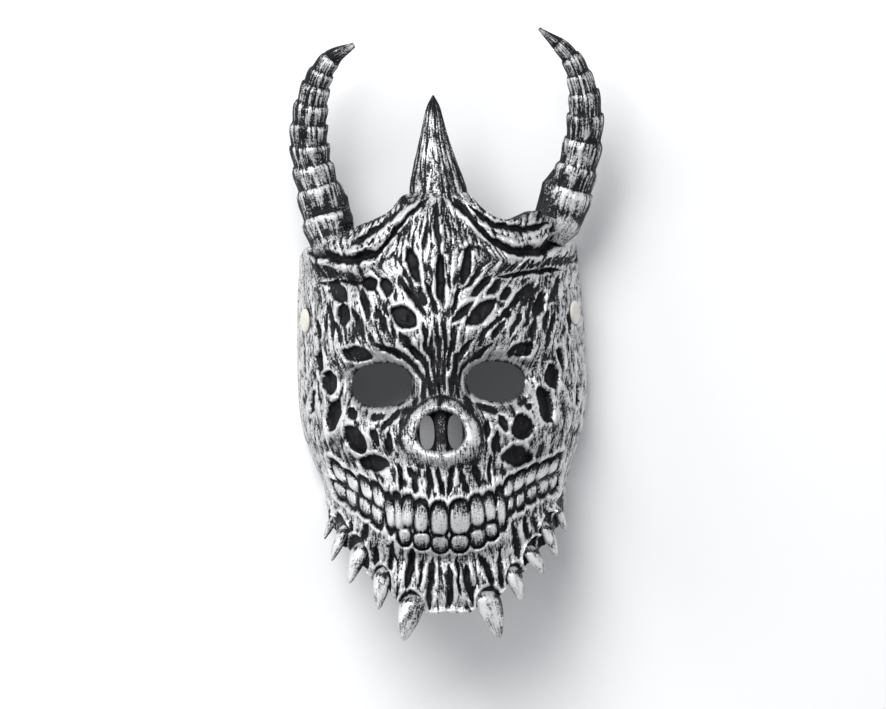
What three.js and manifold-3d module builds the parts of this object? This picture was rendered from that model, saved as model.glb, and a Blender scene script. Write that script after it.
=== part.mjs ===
// Horned skull mask, cast in one from foam rubber, with two plastic strap rivets.
// Millimetres. +X is the right of the photo, +Y points up to the horns, and +Z out of the face,
// so that the mask lies face up on the flat edges of its two sides.
// All places on the face are measured from the middle of the line between the eyes.
import * as THREE from 'three';
import { mergeVertices } from 'three/addons/utils/BufferGeometryUtils.js';
import Module from 'manifold-3d';

const wasm = await Module();
wasm.setup();

// Driving sizes of the shell
const wallThickness = 6.5;
const flatEdgeTop = 72;
const flatEdgeBottom = -60;
const templeLift = 0.2;
const jawLift = 1.1;
const sideShift = 0.6;
const columns = 30;
const rows = 33;
const backStep = 3;

// Facets are eased together in steps of rising edge length, within a tolerance
const easeSteps = [0.6, 1.5, 3, 4.5];
const easeTolerance = 0.2;
const tinyFacet = 0.02;
const thinFacet = 0.1;

// Half width and depth of the face from chin to brow, as [height, size]
const halfWidths = [[-132, 58], [-100, 62], [-84, 66], [-66, 67.8], [-56, 70], [-44, 74.5], [-27, 80],
  [-8, 82.3], [20, 82.3], [42, 81.6], [60, 80.4], [80, 78.5], [110, 74]];
const depths = [[-132, 90], [-115, 94], [-100, 96], [-88, 100], [-70, 103], [-45, 102],
  [-27, 99], [-8, 93], [8, 90], [30, 91], [50, 88], [70, 83], [90, 75], [110, 63]];

// Upper and lower edge of the shell, as [turn in degrees from the middle, height]
const browLeft = [[0, 107], [14, 105.5], [20, 97], [27, 92.5], [37, 88], [46, 82], [66, 79], [80, 76],
  [90, 69]];
const browRight = [[0, 107], [14, 105.5], [20, 97], [26, 91.5], [33, 90], [40, 92.5], [48, 95], [56, 92],
  [68, 90.5], [80, 86], [90, 75]];
const jawEdge = [[0, -128.5], [12, -129], [27.5, -122], [46, -108.5], [60.5, -96], [75, -86], [90, -75]];
const edgeArch = { height: 4, degrees: 4.5, inward: 1.5 };

// Fangs along the jaw, as [root x, root y, tip x, tip y, width]
const fangs = [[-64.5, -77.5, -68.8, -87, 7], [-58, -82.4, -64.7, -98.7, 9.5],
  [-48.3, -91.8, -54.9, -111, 11], [-36, -106.2, -38.7, -125.6, 10], [-19.3, -121.3, -25.2, -143.6, 14],
  [22.4, -120.5, 28.2, -144.2, 14], [37.4, -107.4, 41.2, -123.4, 9.5], [47.5, -96.2, 54, -108.8, 10.5],
  [57, -83.8, 62.1, -100, 9.5], [64.4, -75.2, 68.1, -87, 7.5]];

// Eyes and nose: middle and half sizes of the openings
const eyes = [
  { x: -33.1, y: -0.6, across: 17.1, up: 12.2, tilt: 0.02 },
  { x: 30.8, y: -0.6, across: 16.2, up: 11.2, tilt: -0.1 },
];
const socketDepth = 11;
const nose = { x: -0.8, y: -27.2, across: 14, up: 12, narrowing: 0.14, rim: 3.4, rise: 8, recess: 8.5 };
const nostril = { width: 8, height: 18.5, septum: 7.4 };

// Rivets
const rivet = { turn: 68, height: 37, headRadius: 6.8, headHeight: 2.4, shankRadius: 2.5,
  plateRadius: 6, plateHeight: 1.6, gap: 0.3, sides: 16 };

const radians = (degrees) => degrees * Math.PI / 180;
const mix = (a, b, share) => a + (b - a) * share;
const smooth = (share) => {
  const held = Math.min(1, Math.max(0, share));
  return held * held * (3 - 2 * held);
};

// A smooth curve through a few stations [place, value]
function curveAt(stations, place) {
  const last = stations.length - 1;
  if (place <= stations[0][0]) return stations[0][1];
  if (place >= stations[last][0]) return stations[last][1];
  let index = 0;
  while (stations[index + 1][0] < place) index += 1;
  const slope = (i) => {
    const before = stations[Math.max(0, i - 1)];
    const after = stations[Math.min(last, i + 1)];
    return (after[1] - before[1]) / (after[0] - before[0]);
  };
  const [start, startValue] = stations[index];
  const [end, endValue] = stations[index + 1];
  const span = end - start;
  const t = (place - start) / span;
  const t2 = t * t;
  const t3 = t2 * t;
  return (2 * t3 - 3 * t2 + 1) * startValue + (t3 - 2 * t2 + t) * span * slope(index)
    + (3 * t2 - 2 * t3) * endValue + (t3 - t2) * span * slope(index + 1);
}

// A rounded hill of height 1 in the middle, with half sizes across and up
const hill = (x, y, middleX, middleY, across, up) =>
  Math.exp(-(((x - middleX) / across) ** 2) - (((y - middleY) / up) ** 2));

// Broad hills and hollows on both sides of the face, as [rise, x, y, half size across, half size up]
const pairedForms = {
  cheekbone: [5, 50, -24, 16, 15],
  cheekHollow: [-8, 47, -44, 17, 6],
  brow: [3, 32, 26, 22, 9],
  temple: [4, 48, 72, 18, 9],
  templeHollow: [-3.5, 50, 58, 14, 6],
};
// The same in the middle
const middleForms = { teeth: [4, 0, -74, 34, 16], chinHollow: [-5, 0, -99, 30, 7], peak: [4, 0, 96, 16, 14] };

// The broad forms of the skull, as a rise along Z
function broadForm(x, y, noseShare) {
  let rise = 0;
  for (const eye of eyes) {
    const out = Math.hypot((x - eye.x) / eye.across, (y - eye.y) / eye.up);
    rise -= socketDepth * (1 - smooth((out - 0.95) / 0.75));
  }
  rise += noseShare * nose.rise * hill(x, y, nose.x, nose.y, 21, 20);
  for (const [height, middleX, middleY, across, up] of Object.values(pairedForms)) {
    for (const side of [-1, 1]) rise += height * hill(x, y, side * middleX, middleY, across, up);
  }
  for (const [height, middleX, middleY, across, up] of Object.values(middleForms)) {
    rise += height * hill(x, y, middleX, middleY, across, up);
  }
  return rise;
}

// How far the free edges at the temple and jaw stand above the flat edges
function edgeLift(y) {
  if (y > flatEdgeTop) return (y - flatEdgeTop) * templeLift;
  if (y < flatEdgeBottom) return (flatEdgeBottom - y) * jawLift;
  return 0;
}

// A point of the face; turn runs from -90 to 90 degrees around it
function facePoint(turn, y, inset = 0, noseShare = 1) {
  const angle = radians(turn);
  const half = curveAt(halfWidths, y) - inset;
  const low = edgeLift(y);
  const x = half * Math.sin(angle) + sideShift * Math.sin(angle) ** 2;
  const z = low + (curveAt(depths, y) - inset - low) * Math.cos(angle);
  const fade = smooth(Math.cos(angle) / 0.5);
  return new THREE.Vector3(x, y, z + fade * broadForm(x, y, noseShare));
}

// The turn at which the face lies at x
function turnAt(x, y) {
  const half = curveAt(halfWidths, y);
  const ratio = (x - sideShift * (x / half) ** 2) / half;
  return Math.asin(Math.max(-0.995, Math.min(0.995, ratio))) * 180 / Math.PI;
}

// The way out of the face: straight out in front and sideways at the temples
function outward(turn) {
  const angle = radians(turn);
  return new THREE.Vector3(Math.sin(angle) ** 3, 0, Math.cos(angle)).normalize();
}

const topEdge = (turn) => curveAt(turn < 0 ? browLeft : browRight, Math.abs(turn));

// The jaw's edge rises in a low arch at each fang, a little to the middle of its root
function bottomEdge(turn) {
  let edge = curveAt(jawEdge, Math.abs(turn));
  for (const [rootX, rootY] of fangs) {
    const middle = turnAt(rootX, rootY) - Math.sign(rootX) * edgeArch.inward;
    edge += edgeArch.height * Math.exp(-(((turn - middle) / edgeArch.degrees) ** 2));
  }
  return edge;
}

// A closed solid from a list of points and triangles, turned right side out
function solidOf(points, triangles) {
  let volume = 0;
  for (const [a, b, c] of triangles) {
    volume += points[a].dot(new THREE.Vector3().crossVectors(points[b], points[c]));
  }
  const facing = volume < 0 ? triangles.map(([a, b, c]) => [a, c, b]) : triangles;
  const vertProperties = new Float32Array(points.flatMap((point) => point.toArray()));
  const triVerts = new Uint32Array(facing.flat());
  return new wasm.Manifold(new wasm.Mesh({ numProp: 3, vertProperties, triVerts }));
}

// A skin drawn over a row of equal loops, closed at both ends by their middles;
// a peak takes the place of the last middle
function loft(loops, peak) {
  const count = loops[0].length;
  const points = loops.flat();
  const triangles = [];
  for (let row = 0; row + 1 < loops.length; row += 1) {
    for (let i = 0; i < count; i += 1) {
      const next = (i + 1) % count;
      const low = row * count;
      const high = low + count;
      triangles.push([low + i, low + next, high + next], [low + i, high + next, high + i]);
    }
  }
  for (const [row, flip] of [[0, true], [loops.length - 1, false]]) {
    const middle = new THREE.Vector3();
    loops[row].forEach((point) => middle.addScaledVector(point, 1 / count));
    const at = points.push(peak && !flip ? peak : middle) - 1;
    for (let i = 0; i < count; i += 1) {
      const a = row * count + i;
      const b = row * count + (i + 1) % count;
      triangles.push(flip ? [at, b, a] : [at, a, b]);
    }
  }
  return solidOf(points, triangles);
}

// The shell: a fine front, a coarser back, and an edge strip between them
function shell() {
  const points = [];
  const triangles = [];
  const place = (i, j, across, up, inset, noseShare) => {
    const turn = mix(-90, 90, i / across);
    const y = mix(bottomEdge(turn), topEdge(turn), j / up);
    return points.push(facePoint(turn, y, inset, noseShare)) - 1;
  };
  const grid = (across, up, inset, noseShare) => {
    const sheet = [];
    for (let i = 0; i <= across; i += 1) {
      sheet.push([]);
      for (let j = 0; j <= up; j += 1) sheet[i].push(place(i, j, across, up, inset, noseShare));
    }
    return sheet;
  };
  const front = grid(columns, rows, 0, 1);
  const back = grid(columns / backStep, rows / backStep, wallThickness, 0.3);
  const fill = (sheet, flip) => {
    for (let i = 0; i + 1 < sheet.length; i += 1) {
      for (let j = 0; j + 1 < sheet[0].length; j += 1) {
        const [a, b, c, d] = [sheet[i][j], sheet[i + 1][j], sheet[i + 1][j + 1], sheet[i][j + 1]];
        const halves = (i + j) % 2 ? [[a, b, c], [a, c, d]] : [[a, b, d], [b, c, d]];
        halves.forEach(([p, q, r]) => triangles.push(flip ? [p, r, q] : [p, q, r]));
      }
    }
  };
  fill(front, false);
  fill(back, true);
  const around = (sheet) => {
    const lastI = sheet.length - 1;
    const lastJ = sheet[0].length - 1;
    const ring = [];
    for (let i = 0; i < lastI; i += 1) ring.push(sheet[i][0]);
    for (let j = 0; j < lastJ; j += 1) ring.push(sheet[lastI][j]);
    for (let i = lastI; i > 0; i -= 1) ring.push(sheet[i][lastJ]);
    for (let j = lastJ; j > 0; j -= 1) ring.push(sheet[0][j]);
    return ring;
  };
  const outer = around(front);
  const inner = around(back);
  inner.forEach((point, i) => {
    const nextInner = inner[(i + 1) % inner.length];
    const first = i * backStep;
    for (let k = 0; k < backStep; k += 1) {
      triangles.push([outer[(first + k + 1) % outer.length], outer[first + k], point]);
    }
    triangles.push([outer[(first + backStep) % outer.length], point, nextInner]);
  });
  return solidOf(points, triangles);
}

// A bar or a cut that follows the face along a path of [x, y] points.
// The section is given as [across, out] steps, across in half widths and out in millimetres.
function sweepOnFace(path, width, section, steps, taper) {
  const curve = new THREE.CatmullRomCurve3(path.map(([x, y]) => new THREE.Vector3(x, y, 0)));
  const onFace = (share) => {
    const { x, y } = curve.getPoint(share);
    const turn = turnAt(x, y);
    return { point: facePoint(turn, y), out: outward(turn) };
  };
  const loops = [];
  for (let i = 0; i <= steps; i += 1) {
    const share = 0.5 - 0.499 * Math.cos(Math.PI * i / steps);
    const { point, out } = onFace(share);
    const along = onFace(Math.min(1, share + 0.02)).point.sub(onFace(Math.max(0, share - 0.02)).point);
    const side = new THREE.Vector3().crossVectors(out, along).normalize();
    const shown = Math.max(0.35, Math.hypot(side.x, side.y));
    const size = taper(share);
    loops.push(section(size).map(([across, rise]) => point.clone()
      .addScaledVector(side, across * size * width / 2 / shown)
      .addScaledVector(out, rise)));
  }
  return loft(loops);
}

const lens = (share) => Math.max(0.15, Math.sqrt(1 - (2 * share - 1) ** 2));

// A pit with rounded floor, from one end to the other
function pit([x1, y1, x2, y2, width, depth]) {
  const section = (size) => [[-1, 0.6], [-0.5, -depth * size], [0.5, -depth * size], [1, 0.6], [0, 5]];
  return sweepOnFace([[x1, y1], [mix(x1, x2, 0.5), mix(y1, y2, 0.5)], [x2, y2]], width, section, 4, lens);
}

// A sharp groove
function groove(path, width, depth, steps = 3) {
  const section = (size) => [[-1, 0.5], [0, -depth * size], [1, 0.5]];
  return sweepOnFace(path, width, section, steps, lens);
}

// A raised band
function band(path, width, height, steps, taper = lens) {
  const section = (size) => [[-1, -2], [-0.5, height * size], [0.5, height * size], [1, -2]];
  return sweepOnFace(path, width, section, steps, taper);
}

// The outline of a tooth in half sizes: a square with its corners cut off
const toothOutline = [[1, 0.6], [0.6, 1], [-0.6, 1], [-1, 0.6], [-1, -0.6], [-0.6, -1], [0.6, -1], [1, -0.6]];

// A tooth: a rounded block that stands out of the face
function tooth({ x, y, width, height, tilt = 0, rise }) {
  const turn = turnAt(x, y);
  const base = facePoint(turn, y);
  const out = outward(turn);
  const side = new THREE.Vector3(out.z, 0, -out.x);
  const shown = Math.max(0.4, out.z);
  const up = new THREE.Vector3().crossVectors(out, side);
  const layers = [[-3, 1], [rise * 0.7, 0.9]];
  const loops = layers.map(([level, size]) => {
    const loop = [];
    for (const [u, v] of toothOutline) {
      const across = u * width / 2 * size / shown;
      const high = v * height / 2 * size;
      loop.push(base.clone().addScaledVector(out, level)
        .addScaledVector(side, across * Math.cos(tilt) - high * Math.sin(tilt))
        .addScaledVector(up, high * Math.cos(tilt) + across * Math.sin(tilt)));
    }
    return loop;
  });
  return loft(loops, base.clone().addScaledVector(out, rise));
}

// A loop of points around an axis, flattened by deep in its second direction
function loopAround(point, along, radius, deep, sides) {
  const side = new THREE.Vector3().crossVectors(along, new THREE.Vector3(0, 0, 1)).normalize();
  const out = new THREE.Vector3().crossVectors(side, along).normalize();
  const loop = [];
  for (let i = 0; i < sides; i += 1) {
    const angle = 2 * Math.PI * i / sides;
    loop.push(point.clone().addScaledVector(side, radius * Math.cos(angle))
      .addScaledVector(out, radius * deep * Math.sin(angle)));
  }
  return loop;
}

const spaceCurve = (path) => new THREE.CatmullRomCurve3(path.map(([x, y, z]) => new THREE.Vector3(x, y, z)));

// Rings of a horn: each swells from its foot to its lip
const hornRings = { gap: 0.004, rootSwell: 0.35, footSwell: 0.92, lipSwell: 1.08, deep: 0.95, sides: 14 };

// A horn as a stack of cups along a bent axis, from start on; lengths holds the height of each cup
// and radii the horn's half thickness as [share of the way to the tip, radius]
function horn({ path, start, lengths, radii }) {
  const curve = spaceCurve(path);
  const total = lengths.reduce((sum, length) => sum + length, 0);
  const loopAt = (share, swell) => loopAround(curve.getPointAt(share), curve.getTangentAt(share),
    curveAt(radii, share) * swell, hornRings.deep, hornRings.sides);
  const loops = [loopAt(0, hornRings.rootSwell)];
  let from = start;
  lengths.forEach((length, ring) => {
    const to = from + (1 - start) * length / total;
    const lip = ring + 1 === lengths.length ? 1 : hornRings.lipSwell;
    loops.push(loopAt(from + hornRings.gap / 4, hornRings.footSwell));
    loops.push(loopAt(Math.min(0.999, to - hornRings.gap), lip));
    from = to;
  });
  return loft(loops);
}

// The plain web of rubber that braces a horn's inner side against the brow,
// as [share of the way down, half width, flatness]
const webSteps = [[0, 6, 0.7], [0.5, 11.5, 0.7], [1, 8, 0.5]];

function hornWeb({ web }) {
  const curve = spaceCurve(web);
  return loft(webSteps.map(([share, radius, deep]) =>
    loopAround(curve.getPointAt(share), curve.getTangentAt(share), radius, deep, 10)));
}

// A fang under the jaw edge: its root is sunk in the wall, and it bends a little forward
const fangForm = { sunkHeight: 5, sunkDepth: 0.4, rootDepth: 0.04, forward: 2,
  layers: [[0, 0.4], [0.3, 1], [0.7, 0.66], [0.98, 0.14]] };

function fang([rootX, rootY, tipX, tipY, width]) {
  const turn = turnAt(rootX, rootY);
  const top = rootY + fangForm.sunkHeight;
  const root = facePoint(turn, rootY, fangForm.rootDepth * width);
  const sunk = facePoint(turnAt(rootX, top), top, fangForm.sunkDepth * width);
  const out = outward(turn);
  const tip = root.clone().add(new THREE.Vector3(tipX - rootX, tipY - rootY, fangForm.forward));
  const side = new THREE.Vector3(out.z, 0, -out.x);
  const shown = fangForm.layers[1][0];
  return loft(fangForm.layers.map(([share, size]) => {
    const middle = share < shown ? sunk.clone() : root.clone().lerp(tip, (share - shown) / (1 - shown));
    const loop = [];
    for (let i = 0; i < 6; i += 1) {
      const angle = 2 * Math.PI * i / 6;
      loop.push(middle.clone().addScaledVector(side, Math.cos(angle) * size * width / 2)
        .addScaledVector(out, Math.sin(angle) * size * width / 3));
    }
    return loop;
  }));
}

// An upright prism with an oval outline, for the openings that go right through
function ovalCut({ x, y, across, up, tilt = 0, narrowing = 0 }, low, high, sides) {
  const ring = (z) => {
    const loop = [];
    for (let i = 0; i < sides; i += 1) {
      const angle = 2 * Math.PI * i / sides;
      const a = Math.cos(angle) * across * (1 - narrowing * Math.sin(angle));
      const b = Math.sin(angle) * up;
      loop.push(new THREE.Vector3(x + a * Math.cos(tilt) - b * Math.sin(tilt),
        y + a * Math.sin(tilt) + b * Math.cos(tilt), z));
    }
    return loop;
  };
  return loft([ring(low), ring(high)]);
}

// The raised rim around the nose opening
function noseRim() {
  const loops = [];
  const sides = 16;
  for (let i = 0; i < sides; i += 1) {
    const angle = 2 * Math.PI * i / sides;
    const across = (nose.across + nose.rim) * (1 - nose.narrowing * Math.sin(angle));
    const x = nose.x + across * Math.cos(angle);
    const y = nose.y + (nose.up + nose.rim) * Math.sin(angle);
    const middle = facePoint(turnAt(x, y), y);
    const away = new THREE.Vector3(Math.cos(angle), Math.sin(angle), 0);
    const loop = [];
    for (let k = 0; k < 6; k += 1) {
      const around = Math.PI * k / 3;
      loop.push(middle.clone().addScaledVector(away, nose.rim * Math.cos(around))
        .add(new THREE.Vector3(0, 0, 1.5 + nose.rim * 1.2 * Math.sin(around))));
    }
    loops.push(loop);
  }
  const points = loops.flat();
  const triangles = [];
  loops.forEach((loop, i) => {
    const next = (i + 1) % sides;
    for (let k = 0; k < 6; k += 1) {
      const far = (k + 1) % 6;
      const [a, b, c, d] = [i * 6 + k, i * 6 + far, next * 6 + far, next * 6 + k];
      triangles.push([a, b, c], [a, c, d]);
    }
  });
  return solidOf(points, triangles);
}

// A turned body around an axis, from [radius, height] steps
function turned(profile, origin, axis, sides) {
  const geometry = new THREE.LatheGeometry(profile.map(([r, h]) => new THREE.Vector2(r, h)), sides);
  const turn = new THREE.Quaternion().setFromUnitVectors(new THREE.Vector3(0, 1, 0), axis);
  geometry.applyQuaternion(turn);
  geometry.translate(origin.x, origin.y, origin.z);
  return closedSolid(geometry);
}

// Joins the doubled corners of a plain geometry and drops its empty triangles
function closedSolid(geometry) {
  geometry.deleteAttribute('normal');
  geometry.deleteAttribute('uv');
  const merged = mergeVertices(geometry, 1e-4);
  const place = merged.getAttribute('position');
  const points = [];
  for (let i = 0; i < place.count; i += 1) points.push(new THREE.Vector3().fromBufferAttribute(place, i));
  const triangles = [];
  const index = merged.getIndex().array;
  for (let i = 0; i < index.length; i += 3) {
    const [a, b, c] = [index[i], index[i + 1], index[i + 2]];
    if (a !== b && b !== c && c !== a) triangles.push([a, b, c]);
  }
  return solidOf(points, triangles);
}

// Pits in the bone, as [x, y to x, y, width, depth]
const pits = [
  [-15.4, 76, -10.9, 56, 6.2, 3.6], [18.5, 76, 13.1, 55, 6.2, 3.6], [1.1, 72, 1.8, 43, 5.6, 3.8],
  [-61.7, 56, -51.3, 48, 8, 3], [-54.5, 46, -53, 33, 8, 3], [-31, 58, -26.5, 49, 6, 3],
  [-26, 42, -13.5, 32, 12.5, 4], [-55, 18, -38, 15.7, 7.9, 3.4], [52.5, 18.7, 37.5, 14.9, 8.4, 3.4],
  [31, 45.5, 16, 31, 8.5, 4], [39.5, 57, 60, 60, 6, 3], [59, 49, 54, 34.5, 5, 3],
  [-62.3, 8.5, -63.7, -5.5, 9, 3.6], [-57.5, -8.4, -64.3, -25.2, 8.4, 3.8],
  [-50.3, -12, -50.2, -19.5, 6.2, 3], [-54.4, -24, -43.6, -37.6, 11.2, 4], [-40, -18.2, -32, -18.2, 3.6, 2.6],
  [60.6, 8.5, 65.1, -5.5, 8, 3.6], [54.8, -5, 61.8, -24, 9, 4], [42, -11.8, 49.2, -12, 6.7, 3],
  [43, -19, 46.6, -34, 11.2, 4], [32.5, -20, 36.2, -28.5, 5, 3], [19.3, -11.8, 31.4, -18.8, 5, 3],
  [-44.5, -42.6, -29.5, -43.2, 9, 3], [33.7, -36.2, 47, -42.1, 9, 3],
];

// Slots in the sides of the face, which the front hardly shows
const sidePits = [[-68.4, 20, -68.3, 5, 4, 3], [-71.7, -2, -73.4, -16, 3.4, 3], [67.3, 18, 69.2, 5, 4.5, 3],
  [77.6, -2, 76.5, -17, 2.8, 3]];

// Grooves that fan out from the root of the nose over the brow
function noseFan() {
  const cuts = [];
  for (const side of [-1, 1]) {
    for (let i = 0; i < 3; i += 1) {
      const endX = side * (8 + 9 * i);
      const endY = 47 - 9 * i;
      cuts.push(groove([[side * (3 + 1.5 * i), -4 + 2 * i], [side * (5 + 4 * i), 15 - i], [endX, endY]],
        3.6, 2.4));
    }
  }
  return cuts;
}

// Grooves down the chin, one between each pair of folds
function chinFolds() {
  const cuts = [];
  for (let i = -3; i <= 4; i += 1) {
    const topX = i * 10 - 5;
    const topY = -101 + Math.abs(i) ** 1.6 * 1.6;
    cuts.push(groove([[topX, topY], [topX * 1.05, topY - 10], [topX * 1.12, topY - 20]], 5, 3));
  }
  return cuts;
}

// Grooves between the roots of the upper front teeth
function gumGrooves() {
  const cuts = [];
  for (let i = -2; i <= 2; i += 1) {
    cuts.push(groove([[i * 7 + 1, -46], [i * 7.5 + 0.6, -55], [i * 8 + 0.4, -64]], 4.2, 2.6));
  }
  return cuts;
}

// The two arched bands of each brow, the groove under them and the lip below it
function browBands() {
  const left = [
    band([[-18, 101], [-27, 92], [-37, 87], [-50, 82], [-68, 79]], 7, 3.4, 9),
    band([[-13, 99], [-21, 93], [-28, 86.5], [-38, 78.5], [-50, 72.5]], 6.5, 3.2, 9),
    band([[-20, 86], [-29, 75.5], [-38, 68.5], [-49, 66], [-69, 71.5]], 3.4, 2.6, 9),
  ];
  const right = [
    band([[18, 101], [25, 93.5], [32, 89], [43, 87], [56, 91]], 7, 3.2, 9),
    band([[12.5, 98], [22, 87.5], [33, 80.5], [46, 77], [56, 79.5], [72, 86.5]], 6.5, 3.2, 10),
    band([[24, 83], [35, 73], [47, 67], [58, 67.6], [73, 76.5]], 3.4, 2.6, 9),
  ];
  return [...left, ...right];
}

function browGrooves() {
  return [
    groove([[-4, 103], [-15, 94], [-29, 80], [-41, 69.5], [-68, 74]], 4, 3, 8),
    groove([[6, 101], [17, 93], [29, 79.5], [43, 71], [57, 71.2], [74, 82]], 5.5, 3.4, 8),
    groove([[0.5, 103], [0.5, 88], [0.5, 76]], 3, 2.2),
  ];
}

// The teeth: the front rows as [x, width, height, y] and the side rows stepped along the bite
const upperFront = [[-27.7, 6.5, 20.5, -73], [-21.1, 6.3, 16, -71.9], [-13.3, 7.4, 17, -74.7],
  [-3.2, 9, 17, -76.2], [8.3, 10.8, 17.5, -75.5], [17.6, 8.2, 16, -72.6], [24.4, 7, 15, -70.7],
  [30.6, 6.4, 19, -71.5]];
const lowerFront = [[-23, 6.4, 9, -85.4], [-13.3, 8, 9, -88], [-3.1, 8, 8.6, -90.4], [7.7, 8.4, 9, -90.2],
  [17.6, 7.2, 9.5, -87.6], [25.2, 6, 9, -83.8]];
const toothRise = { upperFront: 5.5, lowerFront: 4.5, upperSide: 4, lowerSide: 3.4 };
const toothLean = { upperFront: 0.004, lowerFront: 0.006, side: 0.45 };
const sideTeeth = { count: 4, first: 37.6, last: 60.8, width: 7.1, upperHeight: 10.6, lowerHeight: 8.8,
  upperStart: -61, upperEnd: -48.6, lowerStart: -72, lowerEnd: -58.6 };

function teeth() {
  const row = [];
  for (const [x, width, height, y] of upperFront) {
    row.push(tooth({ x, y, width, height, tilt: x * toothLean.upperFront, rise: toothRise.upperFront }));
  }
  for (const [x, width, height, y] of lowerFront) {
    row.push(tooth({ x, y, width, height, tilt: x * toothLean.lowerFront, rise: toothRise.lowerFront }));
  }
  for (const side of [-1, 1]) {
    for (let i = 0; i < sideTeeth.count; i += 1) {
      const share = i / (sideTeeth.count - 1);
      const x = side * mix(sideTeeth.first, sideTeeth.last, share);
      const tilt = side * toothLean.side;
      row.push(tooth({ x, y: mix(sideTeeth.upperStart, sideTeeth.upperEnd, share), width: sideTeeth.width,
        height: sideTeeth.upperHeight, tilt, rise: toothRise.upperSide }));
      row.push(tooth({ x, y: mix(sideTeeth.lowerStart, sideTeeth.lowerEnd, share), width: sideTeeth.width,
        height: sideTeeth.lowerHeight, tilt, rise: toothRise.lowerSide }));
    }
  }
  return row;
}

// The channel of the mouth between gum and gum, in which the side teeth stand
function mouthChannel() {
  return [-1, 1].map((side) => groove([[side * 32, -74], [side * 44, -65], [side * 66, -53]], 22, 2.6, 5));
}

const leftHorn = {
  path: [[-56, 70, 47], [-59.5, 84, 41], [-64.2, 104, 39], [-69.4, 126, 41], [-70.2, 147, 46],
    [-65.6, 168.4, 52], [-56.6, 183.4, 56], [-43.2, 191, 59]],
  start: 0.1,
  lengths: [13.7, 17.6, 13, 11.6, 12.3, 11.7, 11, 8.5, 9.1, 15.2],
  radii: [[0, 14], [0.2, 13.8], [0.38, 11.6], [0.6, 10.2], [0.76, 7.9], [0.9, 5.1], [1, 1.5]],
  web: [[-65, 119, 40], [-60.5, 103, 41], [-54, 88, 49]],
};
const rightHorn = {
  path: [[66, 76, 42], [70.6, 91, 37], [76.2, 106, 38], [82.9, 127, 41], [85.88, 146, 46],
    [84.6, 164, 52], [77.2, 182, 57], [61, 197.546, 61]],
  start: 0.13,
  lengths: [16.1, 13.1, 15.7, 15.3, 13, 10.8, 10.9, 10.1, 13.9],
  radii: [[0, 14], [0.13, 13.9], [0.35, 11.3], [0.57, 9.8], [0.745, 6.8], [0.9, 3.8], [1, 0.8]],
  web: [[78, 123, 40], [71, 106, 40], [63, 91, 46]],
};

// The fluted spike on top of the forehead, bent a little to the left; its outline is given as
// [share of the height, size]
const spikeForm = {
  root: new THREE.Vector3(2.2, 101, 58),
  tip: new THREE.Vector3(0.4, 161.6, 56),
  bend: 1,
  halfWidth: 17,
  halfDepth: 11.5,
  sides: 20,
  flute: 0.88,
  outline: [[0, 0.97], [0.13, 0.95], [0.36, 0.73], [0.59, 0.49], [0.74, 0.36], [0.9, 0.21], [1, 0.02]],
};

function spike() {
  const { root, tip, bend, halfWidth, halfDepth, sides, flute, outline } = spikeForm;
  return loft(outline.map(([share, size]) => {
    const middle = root.clone().lerp(tip, share);
    middle.x -= bend * Math.sin(Math.PI * share);
    const loop = [];
    for (let i = 0; i < sides; i += 1) {
      const angle = 2 * Math.PI * i / sides;
      const reach = size * (i % 2 ? flute : 1);
      loop.push(new THREE.Vector3(middle.x + Math.cos(angle) * halfWidth * reach, middle.y,
        middle.z + Math.sin(angle) * halfDepth * reach));
    }
    return loop;
  }));
}

// Where a rivet sits: a point on the face and the way out of it
function rivetSeat(side) {
  const turn = side * rivet.turn;
  const half = facePoint(turn - 2, rivet.height);
  const ahead = facePoint(turn + 2, rivet.height);
  const along = ahead.sub(half).normalize();
  return { point: facePoint(turn, rivet.height), out: new THREE.Vector3(-along.z, 0, along.x) };
}

function rivetSolid(side) {
  const { point, out } = rivetSeat(side);
  const low = -wallThickness;
  const { plateRadius, plateHeight, shankRadius, headRadius, headHeight } = rivet;
  const plate = [[0, low - plateHeight], [plateRadius, low - plateHeight], [plateRadius, low]];
  const shank = [[shankRadius, low], [shankRadius, 0]];
  const head = [[headRadius, 0], [headRadius * 0.97, 0.9], [headRadius * 0.75, headHeight * 0.82],
    [headRadius * 0.4, headHeight], [0, headHeight]];
  return turned([...plate, ...shank, ...head], point, out, rivet.sides);
}

function rivetHole(side) {
  const { point, out } = rivetSeat(side);
  const low = -wallThickness + rivet.gap;
  const hole = rivet.shankRadius + rivet.gap;
  return turned([[0, low - 6], [rivet.plateRadius + 1, low - 6], [rivet.plateRadius + 1, low], [hole, low],
    [hole, -rivet.gap], [rivet.headRadius + 0.8, -rivet.gap], [rivet.headRadius + 0.8, 6], [0, 6]],
  point, out, rivet.sides);
}

function maskSolid() {
  let body = shell();
  for (const piece of browBands()) body = body.add(piece);
  body = body.add(noseRim());
  const cuts = [...pits.map(pit), ...sidePits.map(pit), ...noseFan(), ...chinFolds(), ...gumGrooves(),
    ...browGrooves(), ...mouthChannel()];
  for (const piece of cuts) body = body.subtract(piece);
  const noseTop = facePoint(0, nose.y).z;
  body = body.subtract(ovalCut(nose, noseTop - nose.recess, noseTop + 12, 18));
  for (const eye of eyes) body = body.subtract(ovalCut(eye, 20, 120, 20));
  for (const side of [-1, 1]) {
    const x = nose.x + side * (nostril.septum + nostril.width) / 2;
    const hole = { x, y: nose.y - 0.6, across: nostril.width / 2, up: nostril.height / 2 };
    body = body.subtract(ovalCut(hole, 60, 125, 12));
  }
  for (const piece of [...teeth(), ...fangs.map(fang)]) body = body.add(piece);
  for (const form of [leftHorn, rightHorn]) body = body.add(horn(form)).add(hornWeb(form));
  body = body.add(spike());
  for (const side of [-1, 1]) body = body.subtract(rivetHole(side));
  return body;
}

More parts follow.
